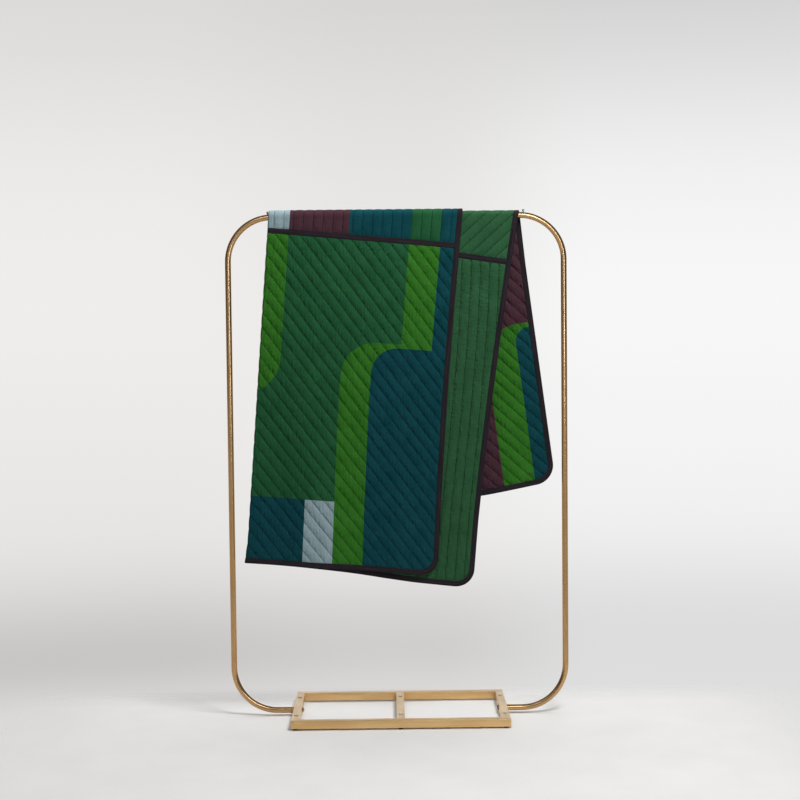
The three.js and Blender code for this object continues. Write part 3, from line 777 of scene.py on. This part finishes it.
def mesh_object(name, co, faces, uvs=None, mats=(), mat_index=None, smooth=True):
    """faces is an (n, k) array, or a list of such arrays of triangles and quads; uvs is {map: (corner, 2) array}."""
    groups = faces if isinstance(faces, list) else [faces]
    groups = [np.asarray(g, np.int32) for g in groups if len(g)]
    me = bpy.data.meshes.new(name)
    me.vertices.add(len(co))
    me.vertices.foreach_set("co", np.asarray(co, np.float32).ravel())
    loops = np.concatenate([g.ravel() for g in groups])
    totals = np.concatenate([np.full(len(g), g.shape[1], np.int32) for g in groups])
    starts = np.concatenate([[0], np.cumsum(totals)[:-1]]).astype(np.int32)
    me.loops.add(len(loops))
    me.loops.foreach_set("vertex_index", loops)
    me.polygons.add(len(totals))
    me.polygons.foreach_set("loop_start", starts)
    me.polygons.foreach_set("loop_total", totals)
    if mat_index is not None:
        me.polygons.foreach_set("material_index", np.asarray(mat_index, np.int32))
    me.polygons.foreach_set("use_smooth", np.full(len(totals), smooth, bool))
    for key, value in (uvs or {}).items():
        layer = me.uv_layers.new(name=key)
        layer.data.foreach_set("uv", np.asarray(value, np.float32).ravel())
    me.update(calc_edges=True)
    me.validate()
    for m in mats:
        me.materials.append(m)
    o = bpy.data.objects.new(name, me)
    scene.collection.objects.link(o)
    return o


CLOTHS = [
    cloth_material("cotton_light_blue", (147, 170, 176), 3.1, dark=0.74),
    cloth_material("cotton_maroon", (77, 49, 58), 11.7),
    cloth_material("cotton_teal", (12, 70, 78), 5.3),
    cloth_material("cotton_green", (35, 91, 55), 17.9),
    cloth_material("cotton_lime", (53, 118, 35), 23.3),
    cloth_material("cotton_backing_green", (48, 94, 60), 29.1),
]
TAPE = tape_material("binding_cotton", (38, 31, 36))


def build_quilt():
    P, F = flat_mesh()
    U, v = P[:, 0], P[:, 1]
    h = half_thickness(U, v)
    n = len(P)
    co = np.concatenate([place(U, v, h), place(U, v, -np.minimum(h, 3.3))])
    # which way the pieced face's triangles must run
    top = F
    under = F[:, ::-1] + n
    # the rim that joins the faces, along the boundary edges
    E = np.concatenate([F[:, [0, 1]], F[:, [1, 2]], F[:, [2, 0]]])
    key = np.sort(E, 1)
    _, first, count = np.unique(key, axis=0, return_index=True, return_counts=True)
    B = E[first[count == 1]]
    rim = np.stack([B[:, 1], B[:, 0], B[:, 0] + n, B[:, 1] + n], 1)
    # patchwork face up means normals on +n; test one triangle
    t = F[len(F) // 2]
    x = co[t]
    nrm = np.cross(x[1] - x[0], x[2] - x[0])
    want = co[t].mean(0) - co[t + n].mean(0)
    if float(nrm @ want) < 0:
        top, under, rim = top[:, ::-1], under[:, ::-1], rim[:, ::-1]
    cen = P[F].mean(1)
    cols = colour_of(cen[:, 0], cen[:, 1])
    mat = np.concatenate([cols, np.full(len(F), BACK), np.full(len(rim), BACK)])
    # maps
    flat = P * MM
    q = quarter(cen[:, 0], cen[:, 1])
    ph = np.zeros((len(F), 3))
    al = np.zeros((len(F), 3))
    for i in range(4):
        m = q == i
        cu, cv = P[F[m]][..., 0], P[F[m]][..., 1]
        ph[m] = phase(cu, cv, i)
        if i == 2:
            al[m] = cv * MM
        else:
            a, b, _ = KV[i]
            k = math.hypot(a, b)
            al[m] = (cu * -b + cv * a) / k * MM
    st = np.stack([ph, al], -1)

    order = slice(None, None, -1)
    flip_top = not np.array_equal(top, F)
    a_cloth, a_st = flat[F], st
    if flip_top:
        top_cloth, top_st = a_cloth[:, order], a_st[:, order]
        und_cloth, und_st = a_cloth, a_st
    else:
        top_cloth, top_st = a_cloth, a_st
        und_cloth, und_st = a_cloth[:, order], a_st[:, order]
    rim_cloth = np.concatenate([flat, flat])[rim]
    rim_st = np.zeros_like(rim_cloth) + 0.5

    def bake(tri_cloth, side):
        s = 0.98 / 2.9
        u = tri_cloth[..., 0] * s + 0.01 + side * (1.45 * s)
        w = tri_cloth[..., 1] * s + 0.01
        return np.stack([u, w], -1)

    s_r = np.arange(len(rim)) / len(rim)
    rb = np.zeros((len(rim), 4, 2))
    d = 1.0 / len(rim)
    rb[:, 0] = np.stack([s_r, np.full(len(rim), 0.93)], -1)
    rb[:, 1] = np.stack([s_r + d * 0.9, np.full(len(rim), 0.93)], -1)
    rb[:, 2] = np.stack([s_r + d * 0.9, np.full(len(rim), 0.96)], -1)
    rb[:, 3] = np.stack([s_r, np.full(len(rim), 0.96)], -1)
    flatten = lambda parts: np.concatenate([p.reshape(-1, 2) for p in parts])
    o = mesh_object(
        "quilt_cloth", co, [np.concatenate([top, under]), rim],
        {
            "cloth": flatten([top_cloth, und_cloth, rim_cloth]),
            "stitch": flatten([top_st, und_st, rim_st]),
            "OFBake": flatten([bake(top_cloth, 0), bake(und_cloth, 1), rb]),
        },
        CLOTHS, mat,
    )
    print("quilt", n * 2, "points", len(o.data.polygons), "faces")
    return o


def sweep(path, normals, profile, closed):
    """A solid strip on the quilt: profile is a closed loop of (inward, off) in millimetres, carried along a flat path."""
    path, normals = np.array(path, float), np.array(normals, float)
    prof = np.array(profile, float)
    m, k = len(path), len(prof)
    U = path[:, None, 0] + normals[:, None, 0] * prof[None, :, 0]
    v = path[:, None, 1] + normals[:, None, 1] * prof[None, :, 0]
    seg = np.linalg.norm(np.diff(path, axis=0), axis=1)
    s = np.concatenate([[0], np.cumsum(seg)])
    # tape lies a little unevenly between its stitches
    wav = 1.0 + 0.05 * np.sin(s / 9.0 + 0.6 * np.sin(s / 31.0))
    off = prof[None, :, 1] * wav[:, None]
    co = place(U, v, off).reshape(-1, 3)
    quads, uv, bk = [], [], []
    total = s[-1] + (np.linalg.norm(path[0] - path[-1]) if closed else 0)
    mid = (prof[:, 0].max() + prof[:, 0].min()) / 2
    for i in range(m if closed else m - 1):
        i2 = (i + 1) % m
        s1 = s[i2] if i2 else total
        for j in range(k):
            j2 = (j + 1) % k
            quads.append((i * k + j, i2 * k + j, i2 * k + j2, i * k + j2))
            uv += [(s[i] * MM, prof[j, 0] - mid), (s1 * MM, prof[j, 0] - mid), (s1 * MM, prof[j2, 0] - mid), (s[i] * MM, prof[j2, 0] - mid)]
    return co, np.array(quads), np.array(uv)


def strip_profile(width, crown, edge):
    """A tape sewn flat on both faces: its middle stands crown off the quilt's middle, its edges edge."""
    half = width / 2
    up = [(-half, edge * 0.7), (-half + 0.25, edge + 0.35), (-half + 0.9, crown - 0.18), (-half + 2.2, crown - 0.05), (-half + 3.3, crown - 0.22), (-half + 4.8, crown),
          (0, crown + 0.04), (half - 4.8, crown), (half - 3.3, crown - 0.22), (half - 2.2, crown - 0.05), (half - 0.9, crown - 0.18), (half - 0.25, edge + 0.35), (half, edge * 0.7)]
    return up + [(x, -y) for x, y in reversed(up)]


def binding_profile():
    up = [(0.0, 0.0), (0.12, 0.9), (0.5, 1.65), (1.2, 2.25), (2.4, 2.6), (4.5, 2.75), (8.0, 2.72), (11.0, 2.66), (12.8, 2.5), (13.7, 2.32), (14.6, 2.45), (15.9, 2.38), (16.6, 2.0), (17.0, 1.3), (17.0, 0.7)]
    return up + [(x, -y) for x, y in reversed(up[1:])]


def build_tape():
    """The binding and the strips between the quarters, as closed bands in one piece."""
    cos, quads, uvs = [], [], []
    base = 0
    path, nor = outline(0.0, 7.0)
    # extra rings where the hems turn round the fold
    path, nor = refine(path, nor)
    parts = [sweep(path, nor, binding_profile(), True)]
    v_line = fold_steps([p for p in sample_line((700, 10), (700, L_ - 10), 8.0)])
    parts.append(sweep(v_line, [(1, 0)] * len(v_line), strip_profile(17.0, 2.45, 1.1), False))
    h_line = fold_steps([p for p in sample_line((10, 1050), (W_ - 10, 1050), 8.0)])
    parts.append(sweep(h_line, [(0, 1)] * len(h_line), strip_profile(17.0, 2.2, 1.1), False))
    for co, q, uv in parts:
        cos.append(co)
        quads.append(q + base)
        uvs.append(uv)
        base += len(co)
    co = np.concatenate(cos)
    q = np.concatenate(quads)
    uv = np.concatenate(uvs)
    # close the ends of the two open strips
    tris = []
    n0 = len(cos[0])
    kk = len(strip_profile(17.0, 2.3, 1.1))
    for i in (1, 2):
        first = n0
        last = n0 + len(cos[i]) - kk
        for a, rev in ((first, False), (last, True)):
            ring = [a + j for j in range(kk)]
            h = kk // 2
            for j in range(h - 1):
                quad = (ring[j], ring[j + 1], ring[kk - 2 - j], ring[kk - 1 - j])
                tris.append(quad[::-1] if rev else quad)
        n0 += len(cos[i])
    caps = np.array(tris)
    cap_uv = np.zeros((len(caps) * 4, 2))
    o = mesh_object("quilt_binding", co, np.concatenate([q, caps]), {"cloth": np.concatenate([uv, cap_uv])}, [TAPE])
    fix_normals(o)
    return o


def refine(path, nor):
    out_p, out_n = [], []
    m = len(path)
    for i in range(m):
        p, q = np.array(path[i]), np.array(path[(i + 1) % m])
        out_p.append(tuple(p))
        out_n.append(nor[i])
        lo, hi = sorted((p[0], q[0]))
        if abs(p[1] - q[1]) < 1e-6 and hi > U_A - 3 and lo < U_B + 3:
            us = [u for u in np.concatenate([[U_A - 2.5], np.linspace(U_A, U_B, 11), [U_B + 2.5]]) if lo + 0.3 < u < hi - 0.3]
            if q[0] < p[0]:
                us = us[::-1]
            for u in us:
                out_p.append((u, p[1]))
                out_n.append(nor[i])
    return out_p, out_n


def fold_steps(line):
    out = []
    for p, q in zip(line[:-1], line[1:]):
        out.append(p)
        if abs(p[1] - q[1]) < 1e-6:
            for u in np.concatenate([[U_A - 2.5], np.linspace(U_A, U_B, 11), [U_B + 2.5]]):
                if p[0] + 0.3 < u < q[0] - 0.3:
                    out.append((u, p[1]))
    out.append(line[-1])
    return out


def fix_normals(o):
    bm = bmesh.new()
    bm.from_mesh(o.data)
    bmesh.ops.recalc_face_normals(bm, faces=bm.faces)
    bm.to_mesh(o.data)
    bm.free()


quilt = build_quilt()
tape = build_tape()
for piece in (quilt, tape):
    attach(piece, "quilt")
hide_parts("quilt_outer_layer", "quilt_inner_layer", "quilt_folded_edge")
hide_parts("outer_binding", "inner_binding")


# ------------------------------------------------------------------ the rack
def tube_piece(name, points, r_out, r_in, mat, sides=40, seed=0.0):
    """A hollow round tube along points (metres), its ends chamfered, with the map "tube" along and round it."""
    pts = np.array(points, float)
    m = len(pts)
    tan = np.gradient(pts, axis=0)
    tan /= np.linalg.norm(tan, axis=1)[:, None]
    side = np.array([0.0, 1.0, 0.0])  # the hoop lies in the plane y = 0
    seg = np.linalg.norm(np.diff(pts, axis=0), axis=1)
    s = np.concatenate([[0], np.cumsum(seg)])
    ch = 0.0005
    rings = []
    rings.append((0, 0.0, r_in))
    rings.append((0, 0.0, r_out - ch))
    rings.append((0, ch, r_out))
    for i in range(1, m - 1):
        rings.append((i, 0.0, r_out))
    rings.append((m - 1, -ch, r_out))
    rings.append((m - 1, 0.0, r_out - ch))
    rings.append((m - 1, 0.0, r_in))
    for i in range(m - 2, 0, -1):
        rings.append((i, 0.0, r_in))
    co, along = [], []
    for i, shift, r in rings:
        t = tan[i]
        nrm = np.cross(side, t)
        c = pts[i] + t * shift
        for j in range(sides):
            a = 2 * math.pi * j / sides
            co.append(c + r * (math.cos(a) * nrm + math.sin(a) * side))
        along.append(s[i] + shift)
    k = len(rings)
    quads, uv = [], []
    for i in range(k):
        i2 = (i + 1) % k
        for j in range(sides):
            j2 = (j + 1) % sides
            quads.append((i * sides + j, i * sides + j2, i2 * sides + j2, i2 * sides + j))
            c = 2 * math.pi * r_out / sides
            uv += [(along[i], j * c), (along[i], (j + 1) * c), (along[i2], (j + 1) * c), (along[i2], j * c)]
    o = mesh_object(name, np.array(co), np.array(quads), {"tube": np.array(uv)}, [mat])
    fix_normals(o)
    sharpen(o, 40)
    return o


def sharpen(o, degrees):
    """Smooth shading, with edges sharper than this kept crisp."""
    o.data.polygons.foreach_set("use_smooth", [True] * len(o.data.polygons))
    o.data.set_sharp_from_angle(angle=math.radians(degrees))


def bend_points(cx, cz, r, a0, a1, n=24):
    return [(cx + r * math.cos(math.radians(a0 + (a1 - a0) * i / n)), 0.0, cz + r * math.sin(math.radians(a0 + (a1 - a0) * i / n))) for i in range(n + 1)]


def rungs(p, q, step=0.06):
    p, q = np.array(p), np.array(q)
    n = max(1, int(round(np.linalg.norm(q - p) / step)))
    return [tuple(p + (q - p) * i / n) for i in range(n)]


TUBE_R, TUBE_BORE = 0.0095, 0.008
HALF_W, RZ, SZ, BR, JZ = 0.530, 1.588, 0.0175, 0.140, 1.120
GAP = 0.0003
lo_l, hi_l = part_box("hoop_left_section")
end_x = abs(hi_l[0])  # inner end of the hoop's bottom run
brass_tube = brass_material("brass_tube", "uv")
top_pts = [(-HALF_W, 0, JZ + GAP / 2)] + rungs((-HALF_W, 0, JZ + 0.02), (-HALF_W, 0, RZ - BR)) + bend_points(-HALF_W + BR, RZ - BR, BR, 180, 90) \
    + rungs((-HALF_W + BR + 0.01, 0, RZ), (HALF_W - BR - 0.01, 0, RZ)) + bend_points(HALF_W - BR, RZ - BR, BR, 90, 0) + rungs((HALF_W, 0, RZ - BR - 0.02), (HALF_W, 0, JZ + 0.02)) + [(HALF_W, 0, JZ + GAP / 2)]
hoop_top = tube_piece("hoop_top_tube", top_pts, TUBE_R, TUBE_BORE, brass_tube)
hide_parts("hoop_top_section")
hoops = [hoop_top]
for sgn, nm in ((-1, "left"), (1, "right")):
    pts = [(sgn * HALF_W, 0, JZ - GAP / 2)] + rungs((sgn * HALF_W, 0, JZ - 0.02), (sgn * HALF_W, 0, SZ + BR))
    cx = sgn * (HALF_W - BR)
    a0, a1 = (180, 270) if sgn < 0 else (0, -90)
    pts += bend_points(cx, SZ + BR, BR, a0, a1)
    pts += [(sgn * (abs(cx) - 0.02), 0, SZ), (sgn * end_x, 0, SZ)]
    o = tube_piece(f"hoop_{nm}_tube", pts, TUBE_R, TUBE_BORE, brass_tube)
    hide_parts(f"hoop_{nm}_section")
    hoops.append(o)
for o in hoops:
    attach(o, "rack")

# painted light: the rails' brass is set paler to make up for light they lack, and the rails along y are paler again, a
# painted sheen for the light their brushing catches
brass_x = brass_material("brass_rail_x", 0, (232, 194, 136), 0.34, 4.0)
brass_y = brass_material("brass_rail_y", 1, (235, 206, 160), 0.34, 9.0)
brass_small = brass_material("brass_turned", 2, (178, 140, 96), 0.3, 2.0)
steel = steel_material("zinc_steel")
pale_steel = steel_material("pin_steel", (176, 178, 166), 0.4)
foot = rubber_material("foot_rubber", (30, 26, 24), 0.8)
pad = rubber_material("pad_rubber", (214, 206, 186), 0.3, 0.2)

BASE_W, BASE_D, RAIL, WALL, RAIL_ROUND = 0.680, 0.390, 0.025, 0.0015, 0.0016
RAIL_MID = 0.0175


def square_ring(half, r, steps=5):
    pts = []
    for cx, cy, a0 in ((1, 1, 0), (-1, 1, 90), (-1, -1, 180), (1, -1, 270)):
        for i in range(steps + 1):
            a = math.radians(a0 + 90.0 * i / steps)
            pts.append((cx * (half - r) + r * math.cos(a), cy * (half - r) + r * math.sin(a)))
    return pts


def rail_piece(name, along, at, ends, mitred, mat):
    """A square tube with rounded edges. It lies along x (0) or y (1) with its middle at `at`, and its ends
    at `ends`; a mitred end is shorter on the side facing the middle of the base."""
    outer = square_ring(RAIL / 2, RAIL_ROUND)
    inner = square_ring(RAIL / 2 - WALL, 0.0007)
    k = len(outer)
    toward = -1.0 if at > 0 else 1.0  # the side of the section that faces the middle
    co = []
    for e in ends:
        for ring in (outer, inner):
            for a, b in ring:
                cut = (toward * a + RAIL / 2) if mitred else 0.0
                run = e - math.copysign(cut, e)
                co.append((run, at + a, RAIL_MID + b) if along == 0 else (at + a, run, RAIL_MID + b))
    quads = []
    for j in range(k):
        j2 = (j + 1) % k
        quads.append((j, j2, 2 * k + j2, 2 * k + j))
        quads.append((k + j, 3 * k + j, 3 * k + j2, k + j2))
        quads.append((j, k + j, k + j2, j2))
        quads.append((2 * k + j, 2 * k + j2, 3 * k + j2, 3 * k + j))
    o = mesh_object(name, np.array(co), np.array(quads), mats=[mat])
    fix_normals(o)
    sharpen(o, 40)
    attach(o, "rack")
    return o


side_y = BASE_D / 2 - RAIL / 2
side_x = BASE_W / 2 - RAIL / 2
g = GAP
for nm, sgn in (("front_rail", -1), ("rear_rail", 1)):
    o = rail_piece(nm + "_tube", 0, sgn * side_y, (-BASE_W / 2 + g, BASE_W / 2 - g), True, brass_x)
    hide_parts(nm)
for nm, sgn in (("left_end_rail", -1), ("right_end_rail", 1)):
    o = rail_piece(nm + "_tube", 1, sgn * side_x, (-BASE_D / 2 + g, BASE_D / 2 - g), True, brass_y)
    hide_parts(nm)
lo_c, hi_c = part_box("centre_crossbar")
o = rail_piece("centre_crossbar_tube", 1, 0.0, (lo_c[1], hi_c[1]), False, brass_y)
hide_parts("centre_crossbar")


def turned(name, profile, centre, axis, mat, body="rack", sides=28):
    """A solid of revolution: profile is (radius, height) from its foot to its head."""
    co, rows = [], []
    for r, h in profile:
        if r < 1e-7:
            rows.append([len(co)])
            co.append((0, 0, h))
        else:
            rows.append(list(range(len(co), len(co) + sides)))
            co += [(r * math.cos(2 * math.pi * i / sides), r * math.sin(2 * math.pi * i / sides), h) for i in range(sides)]
    faces3, faces4 = [], []
    for a, b in zip(rows[:-1], rows[1:]):
        for i in range(sides):
            i2 = (i + 1) % sides
            if len(a) == 1:
                faces3.append((a[0], b[i2], b[i]))
            elif len(b) == 1:
                faces3.append((a[i], a[i2], b[0]))
            else:
                faces4.append((a[i], a[i2], b[i2], b[i]))
    co = np.array(co)
    if axis == 0:
        co = np.stack([co[:, 2], co[:, 0], co[:, 1]], 1)
    elif axis == -1:
        co = np.stack([-co[:, 2], co[:, 1], co[:, 0]], 1)
    o = mesh_object(name, co + np.array(centre), [np.array(faces3), np.array(faces4)], mats=[mat])
    fix_normals(o)
    sharpen(o, 38)
    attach(o, body)
    return o


def dome(r, h, n=7):
    """A soft bumper: straight foot, then a rounded crown."""
    pts = [(0.0, 0.0), (r - 0.0002, 0.0), (r, 0.0003)]
    for i in range(n + 1):
        a = math.radians(90.0 * i / n)
        pts.append((r * (0.35 + 0.65 * math.cos(a)) if i < n else r * 0.35, 0.0008 + (h - 0.0008) * math.sin(a)))
    return pts + [(0.0, h + 0.0001)]


def dress(node, mat):
    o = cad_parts[node]
    o.data.materials.clear()
    o.data.materials.append(mat)
    return o


for s in ("left", "centre", "right"):
    for e in ("front", "rear"):
        n = f"{s}_{e}_shelf_pad"
        lo_p, hi_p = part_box(n)
        mid = ((lo_p[0] + hi_p[0]) / 2, (lo_p[1] + hi_p[1]) / 2, lo_p[2])
        o = turned(n + "_dome", dome((hi_p[0] - lo_p[0]) / 2 + 0.0003, hi_p[2] - lo_p[2]), mid, 2, pad)
        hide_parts(n)
        n = f"{s}_{e}_foot"
        lo_p, hi_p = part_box(n)
        mid = ((lo_p[0] + hi_p[0]) / 2, (lo_p[1] + hi_p[1]) / 2, lo_p[2])
        r, h = (hi_p[0] - lo_p[0]) / 2, hi_p[2] - lo_p[2]
        prof = [(0, 0), (r - 0.0012, 0), (r - 0.0004, 0.0002), (r - 0.0001, 0.0008), (r, 0.0016), (r, h * 0.6), (r - 0.0005, h * 0.66), (r - 0.0005, h), (0, h)]
        o = turned(n + "_moulding", prof, mid, 2, foot)
        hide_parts(n)

for s in ("left", "right"):
    dress(s + "_joint_spigot", steel)
    dress(s + "_tube_plug", steel)
    dress(s + "_frame_bolt", brass_small)
    dress(s + "_bolt_washer", brass_small)
    lo_p, hi_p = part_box(s + "_stop_pin")
    r = (hi_p[0] - lo_p[0]) / 2
    h = hi_p[2] - lo_p[2]
    prof = [(0, 0), (r * 0.72, 0), (r * 0.72, h * 0.5), (r * 0.95, h * 0.56), (r, h * 0.62), (r, h * 0.86), (r * 0.93, h * 0.94), (r * 0.72, h * 0.99), (0, h)]
    o = turned(s + "_pin_turned", prof, ((lo_p[0] + hi_p[0]) / 2, 0.0, lo_p[2]), 2, brass_small if s == "left" else pale_steel)
    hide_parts(s + "_stop_pin")


# ------------------------------------------------------------------ floor and light
def build_stage():
    m = bpy.data.materials.new("studio_floor")
    m.use_nodes = True
    t = m.node_tree
    t.nodes.clear()
    k = Tree(t)
    out = k.node("ShaderNodeOutputMaterial")
    geo = k.node("ShaderNodeTexCoord").outputs["Object"]
    x, y, _ = k.split(geo)
    # the paper is only solid round the rack, and melts into the backdrop further out
    ax = k.smooth(k.math("ABSOLUTE", x), 0.85, 1.45, 0.0, 1.0)
    ay = k.math("ADD", k.smooth(y, 0.12, 0.4, 0.0, 1.0), k.smooth(y, -0.85, -1.45, 0.0, 1.0))
    fade = k.math("SUBTRACT", 1.0, k.math("MULTIPLY", k.math("SUBTRACT", 1.0, ax), k.math("SUBTRACT", 1.0, ay, clamp=True)), clamp=True)
    b = k.node("ShaderNodeBsdfPrincipled")
    grime = k.noise(geo, 5.0, 4.0)
    k.link(k.mix(k.remap(grime, 0.3, 0.7, 0.0, 1.0), (0.765, 0.755, 0.74, 1), (0.80, 0.79, 0.775, 1)), b.inputs["Base Color"])
    b.inputs["Roughness"].default_value = 0.8
    b.inputs["Specular IOR Level"].default_value = 0.1
    clear = k.node("ShaderNodeBsdfTransparent")
    mixer = k.node("ShaderNodeMixShader")
    k.link(fade, mixer.inputs[0])
    k.link(b.outputs[0], mixer.inputs[1])
    k.link(clear.outputs[0], mixer.inputs[2])
    k.link(mixer.outputs[0], out.inputs[0])
    o = mesh_object("studio_floor", [(-1.6, -1.6, 0), (1.6, -1.6, 0), (1.6, 1.6, 0), (-1.6, 1.6, 0)], np.array([(0, 1, 2, 3)]), mats=[m], smooth=False)


build_stage()

world = bpy.data.worlds.new("studio")
scene.world = world
world.use_nodes = True
wt = world.node_tree
wt.nodes.clear()
k = Tree(wt)
wout = k.node("ShaderNodeOutputWorld")
dx, dy, dz = k.split(k.node("ShaderNodeTexCoord").outputs["Generated"])


def column(stops, warm):
    """One upright strip of the painted backdrop: (height of the direction, grey level)."""
    lo_z, hi_z = -0.42, 0.45
    r = k.node("ShaderNodeValToRGB")
    r.color_ramp.interpolation = "B_SPLINE"
    e = r.color_ramp.elements
    while len(e) < len(stops):
        e.new(0.5)
    for q, (z, g) in zip(e, sorted(stops)):
        q.position = (z - lo_z) / (hi_z - lo_z)
    for q, (z, g) in zip(e, sorted(stops)):
        c = srgb(g, g, g)[0]
        q.color = (c * (1 + warm), c, c * (1 - warm), 1.0)
    k.link(k.remap(dz, lo_z, hi_z, 0.0, 1.0), r.inputs[0])
    return r.outputs[0]


def row(y):
    """Height of the direction seen at this row of the picture."""
    return math.sin(math.atan((400 - y) / 1600.0) - 0.0526475)


# painted shade in the backdrop: brighter on the right, where the light comes from, and a painted shadow band low down
# (rows 580 to 680), darkest on the left, where the quilt's shadow and the curve of the sweep fall
left_c = column([(row(y), g) for y, g in ((0, 218), (60, 223), (100, 227), (140, 231), (180, 234), (220, 236), (300, 238), (340, 237), (380, 235), (420, 234), (460, 232), (500, 230), (540, 228), (580, 218), (620, 202), (655, 195), (680, 208), (705, 218), (800, 219))], 0.018)
mid_c = column([(row(y), g) for y, g in ((0, 213), (20, 215), (60, 219), (100, 223), (140, 226), (180, 229), (300, 233), (420, 236), (500, 235), (540, 232), (575, 225), (600, 216), (640, 204), (665, 208), (690, 217), (720, 221), (800, 223))], 0.012)
right_c = column([(row(y), g) for y, g in ((0, 211), (20, 214), (60, 221), (100, 229), (140, 236), (180, 241), (240, 245), (300, 248), (340, 247), (380, 245), (460, 243), (500, 241), (540, 237), (580, 227), (620, 220), (660, 221), (700, 223), (800, 224))], 0.0)
to_left = k.smooth(dx, 0.0, -0.15, 0.0, 1.0)
to_right = k.smooth(dx, 0.02, 0.135, 0.0, 1.0)
painted = k.mix(to_right, k.mix(to_left, mid_c, left_c), right_c)
# behind the camera the same studio is a plain pale grey
painted = k.mix(k.smooth(dy, 0.2, 0.7, 0.0, 1.0), srgb(222, 221, 219), painted)
seen = k.node("ShaderNodeBackground")
k.link(painted, seen.inputs[0])
seen.inputs[1].default_value = 1.0
# what lights the rack: the bright backdrop and paper, with the studio dark at the sides and overhead
lit = k.node("ShaderNodeBackground")
wall = k.math("MULTIPLY", k.smooth(dy, 0.55, 0.85, 0.0, 1.0), k.smooth(dz, 0.75, 0.35, 0.0, 1.0))
paper = k.smooth(dz, 0.0, -0.12, 0.0, 1.0)
path = k.node("ShaderNodeLightPath")
# little light comes off the floor in front of the paper, though polished metal still shows it
paper_lit = k.math("MULTIPLY", paper, k.math("MAXIMUM", k.smooth(dy, -0.1, 0.3, 0.05, 1.0), k.smooth(path.outputs["Is Glossy Ray"], 0.4, 0.6, 0.0, 1.0)))
amb = k.math("MAXIMUM", k.math("MULTIPLY", wall, 0.95), k.math("MULTIPLY", paper_lit, 0.66))
amb = k.math("MAXIMUM", amb, k.smooth(dz, 0.0, 1.0, 0.11, 0.2))
col = k.node("ShaderNodeCombineXYZ")
for i in range(3):
    k.link(amb, col.inputs[i])
k.link(col.outputs[0], lit.inputs[0])
lit.inputs[1].default_value = 1.0
mixw = k.node("ShaderNodeMixShader")
k.link(path.outputs["Is Camera Ray"], mixw.inputs[0])
k.link(lit.outputs[0], mixw.inputs[1])
k.link(seen.outputs[0], mixw.inputs[2])
k.link(mixw.outputs[0], wout.inputs[0])


def softbox(name, place_at, aim, size, power, glossy=True, diffuse=True, colour=(1, 1, 1)):
    data = bpy.data.lights.new(name, "AREA")
    data.shape = "RECTANGLE"
    data.size, data.size_y = size
    data.energy = power
    data.color = colour
    o = bpy.data.objects.new(name, data)
    scene.collection.objects.link(o)
    o.location = place_at
    o.rotation_euler = (Vector(aim) - Vector(place_at)).to_track_quat("-Z", "Y").to_euler()
    o.visible_glossy = glossy
    o.visible_diffuse = diffuse
    return o


softbox("key", (1.25, -1.7, 3.8), (0, 0, 1.0), (1.3, 1.3), 118, glossy=False)
COOL = (0.88, 1.0, 1.26)
softbox("strip", (1.1, -2.9, 2.3), (0, 0, 1.35), (0.45, 3.2), 38, diffuse=False, colour=COOL)
softbox("strip_left", (-1.2, -2.9, 2.3), (0, 0, 1.35), (0.4, 3.2), 8, diffuse=False, colour=COOL)
softbox("card", (0.8, -3.0, 3.4), (0, 0, 1.4), (1.1, 0.6), 14, diffuse=False, colour=COOL)
softbox("card_left", (-0.75, -3.0, 3.5), (0, 0, 1.4), (0.9, 0.5), 9, diffuse=False, colour=COOL)
softbox("top", (-0.25, 0.9, 3.7), (-0.1, 0.1, 0), (4.2, 2.4), 62, glossy=False)
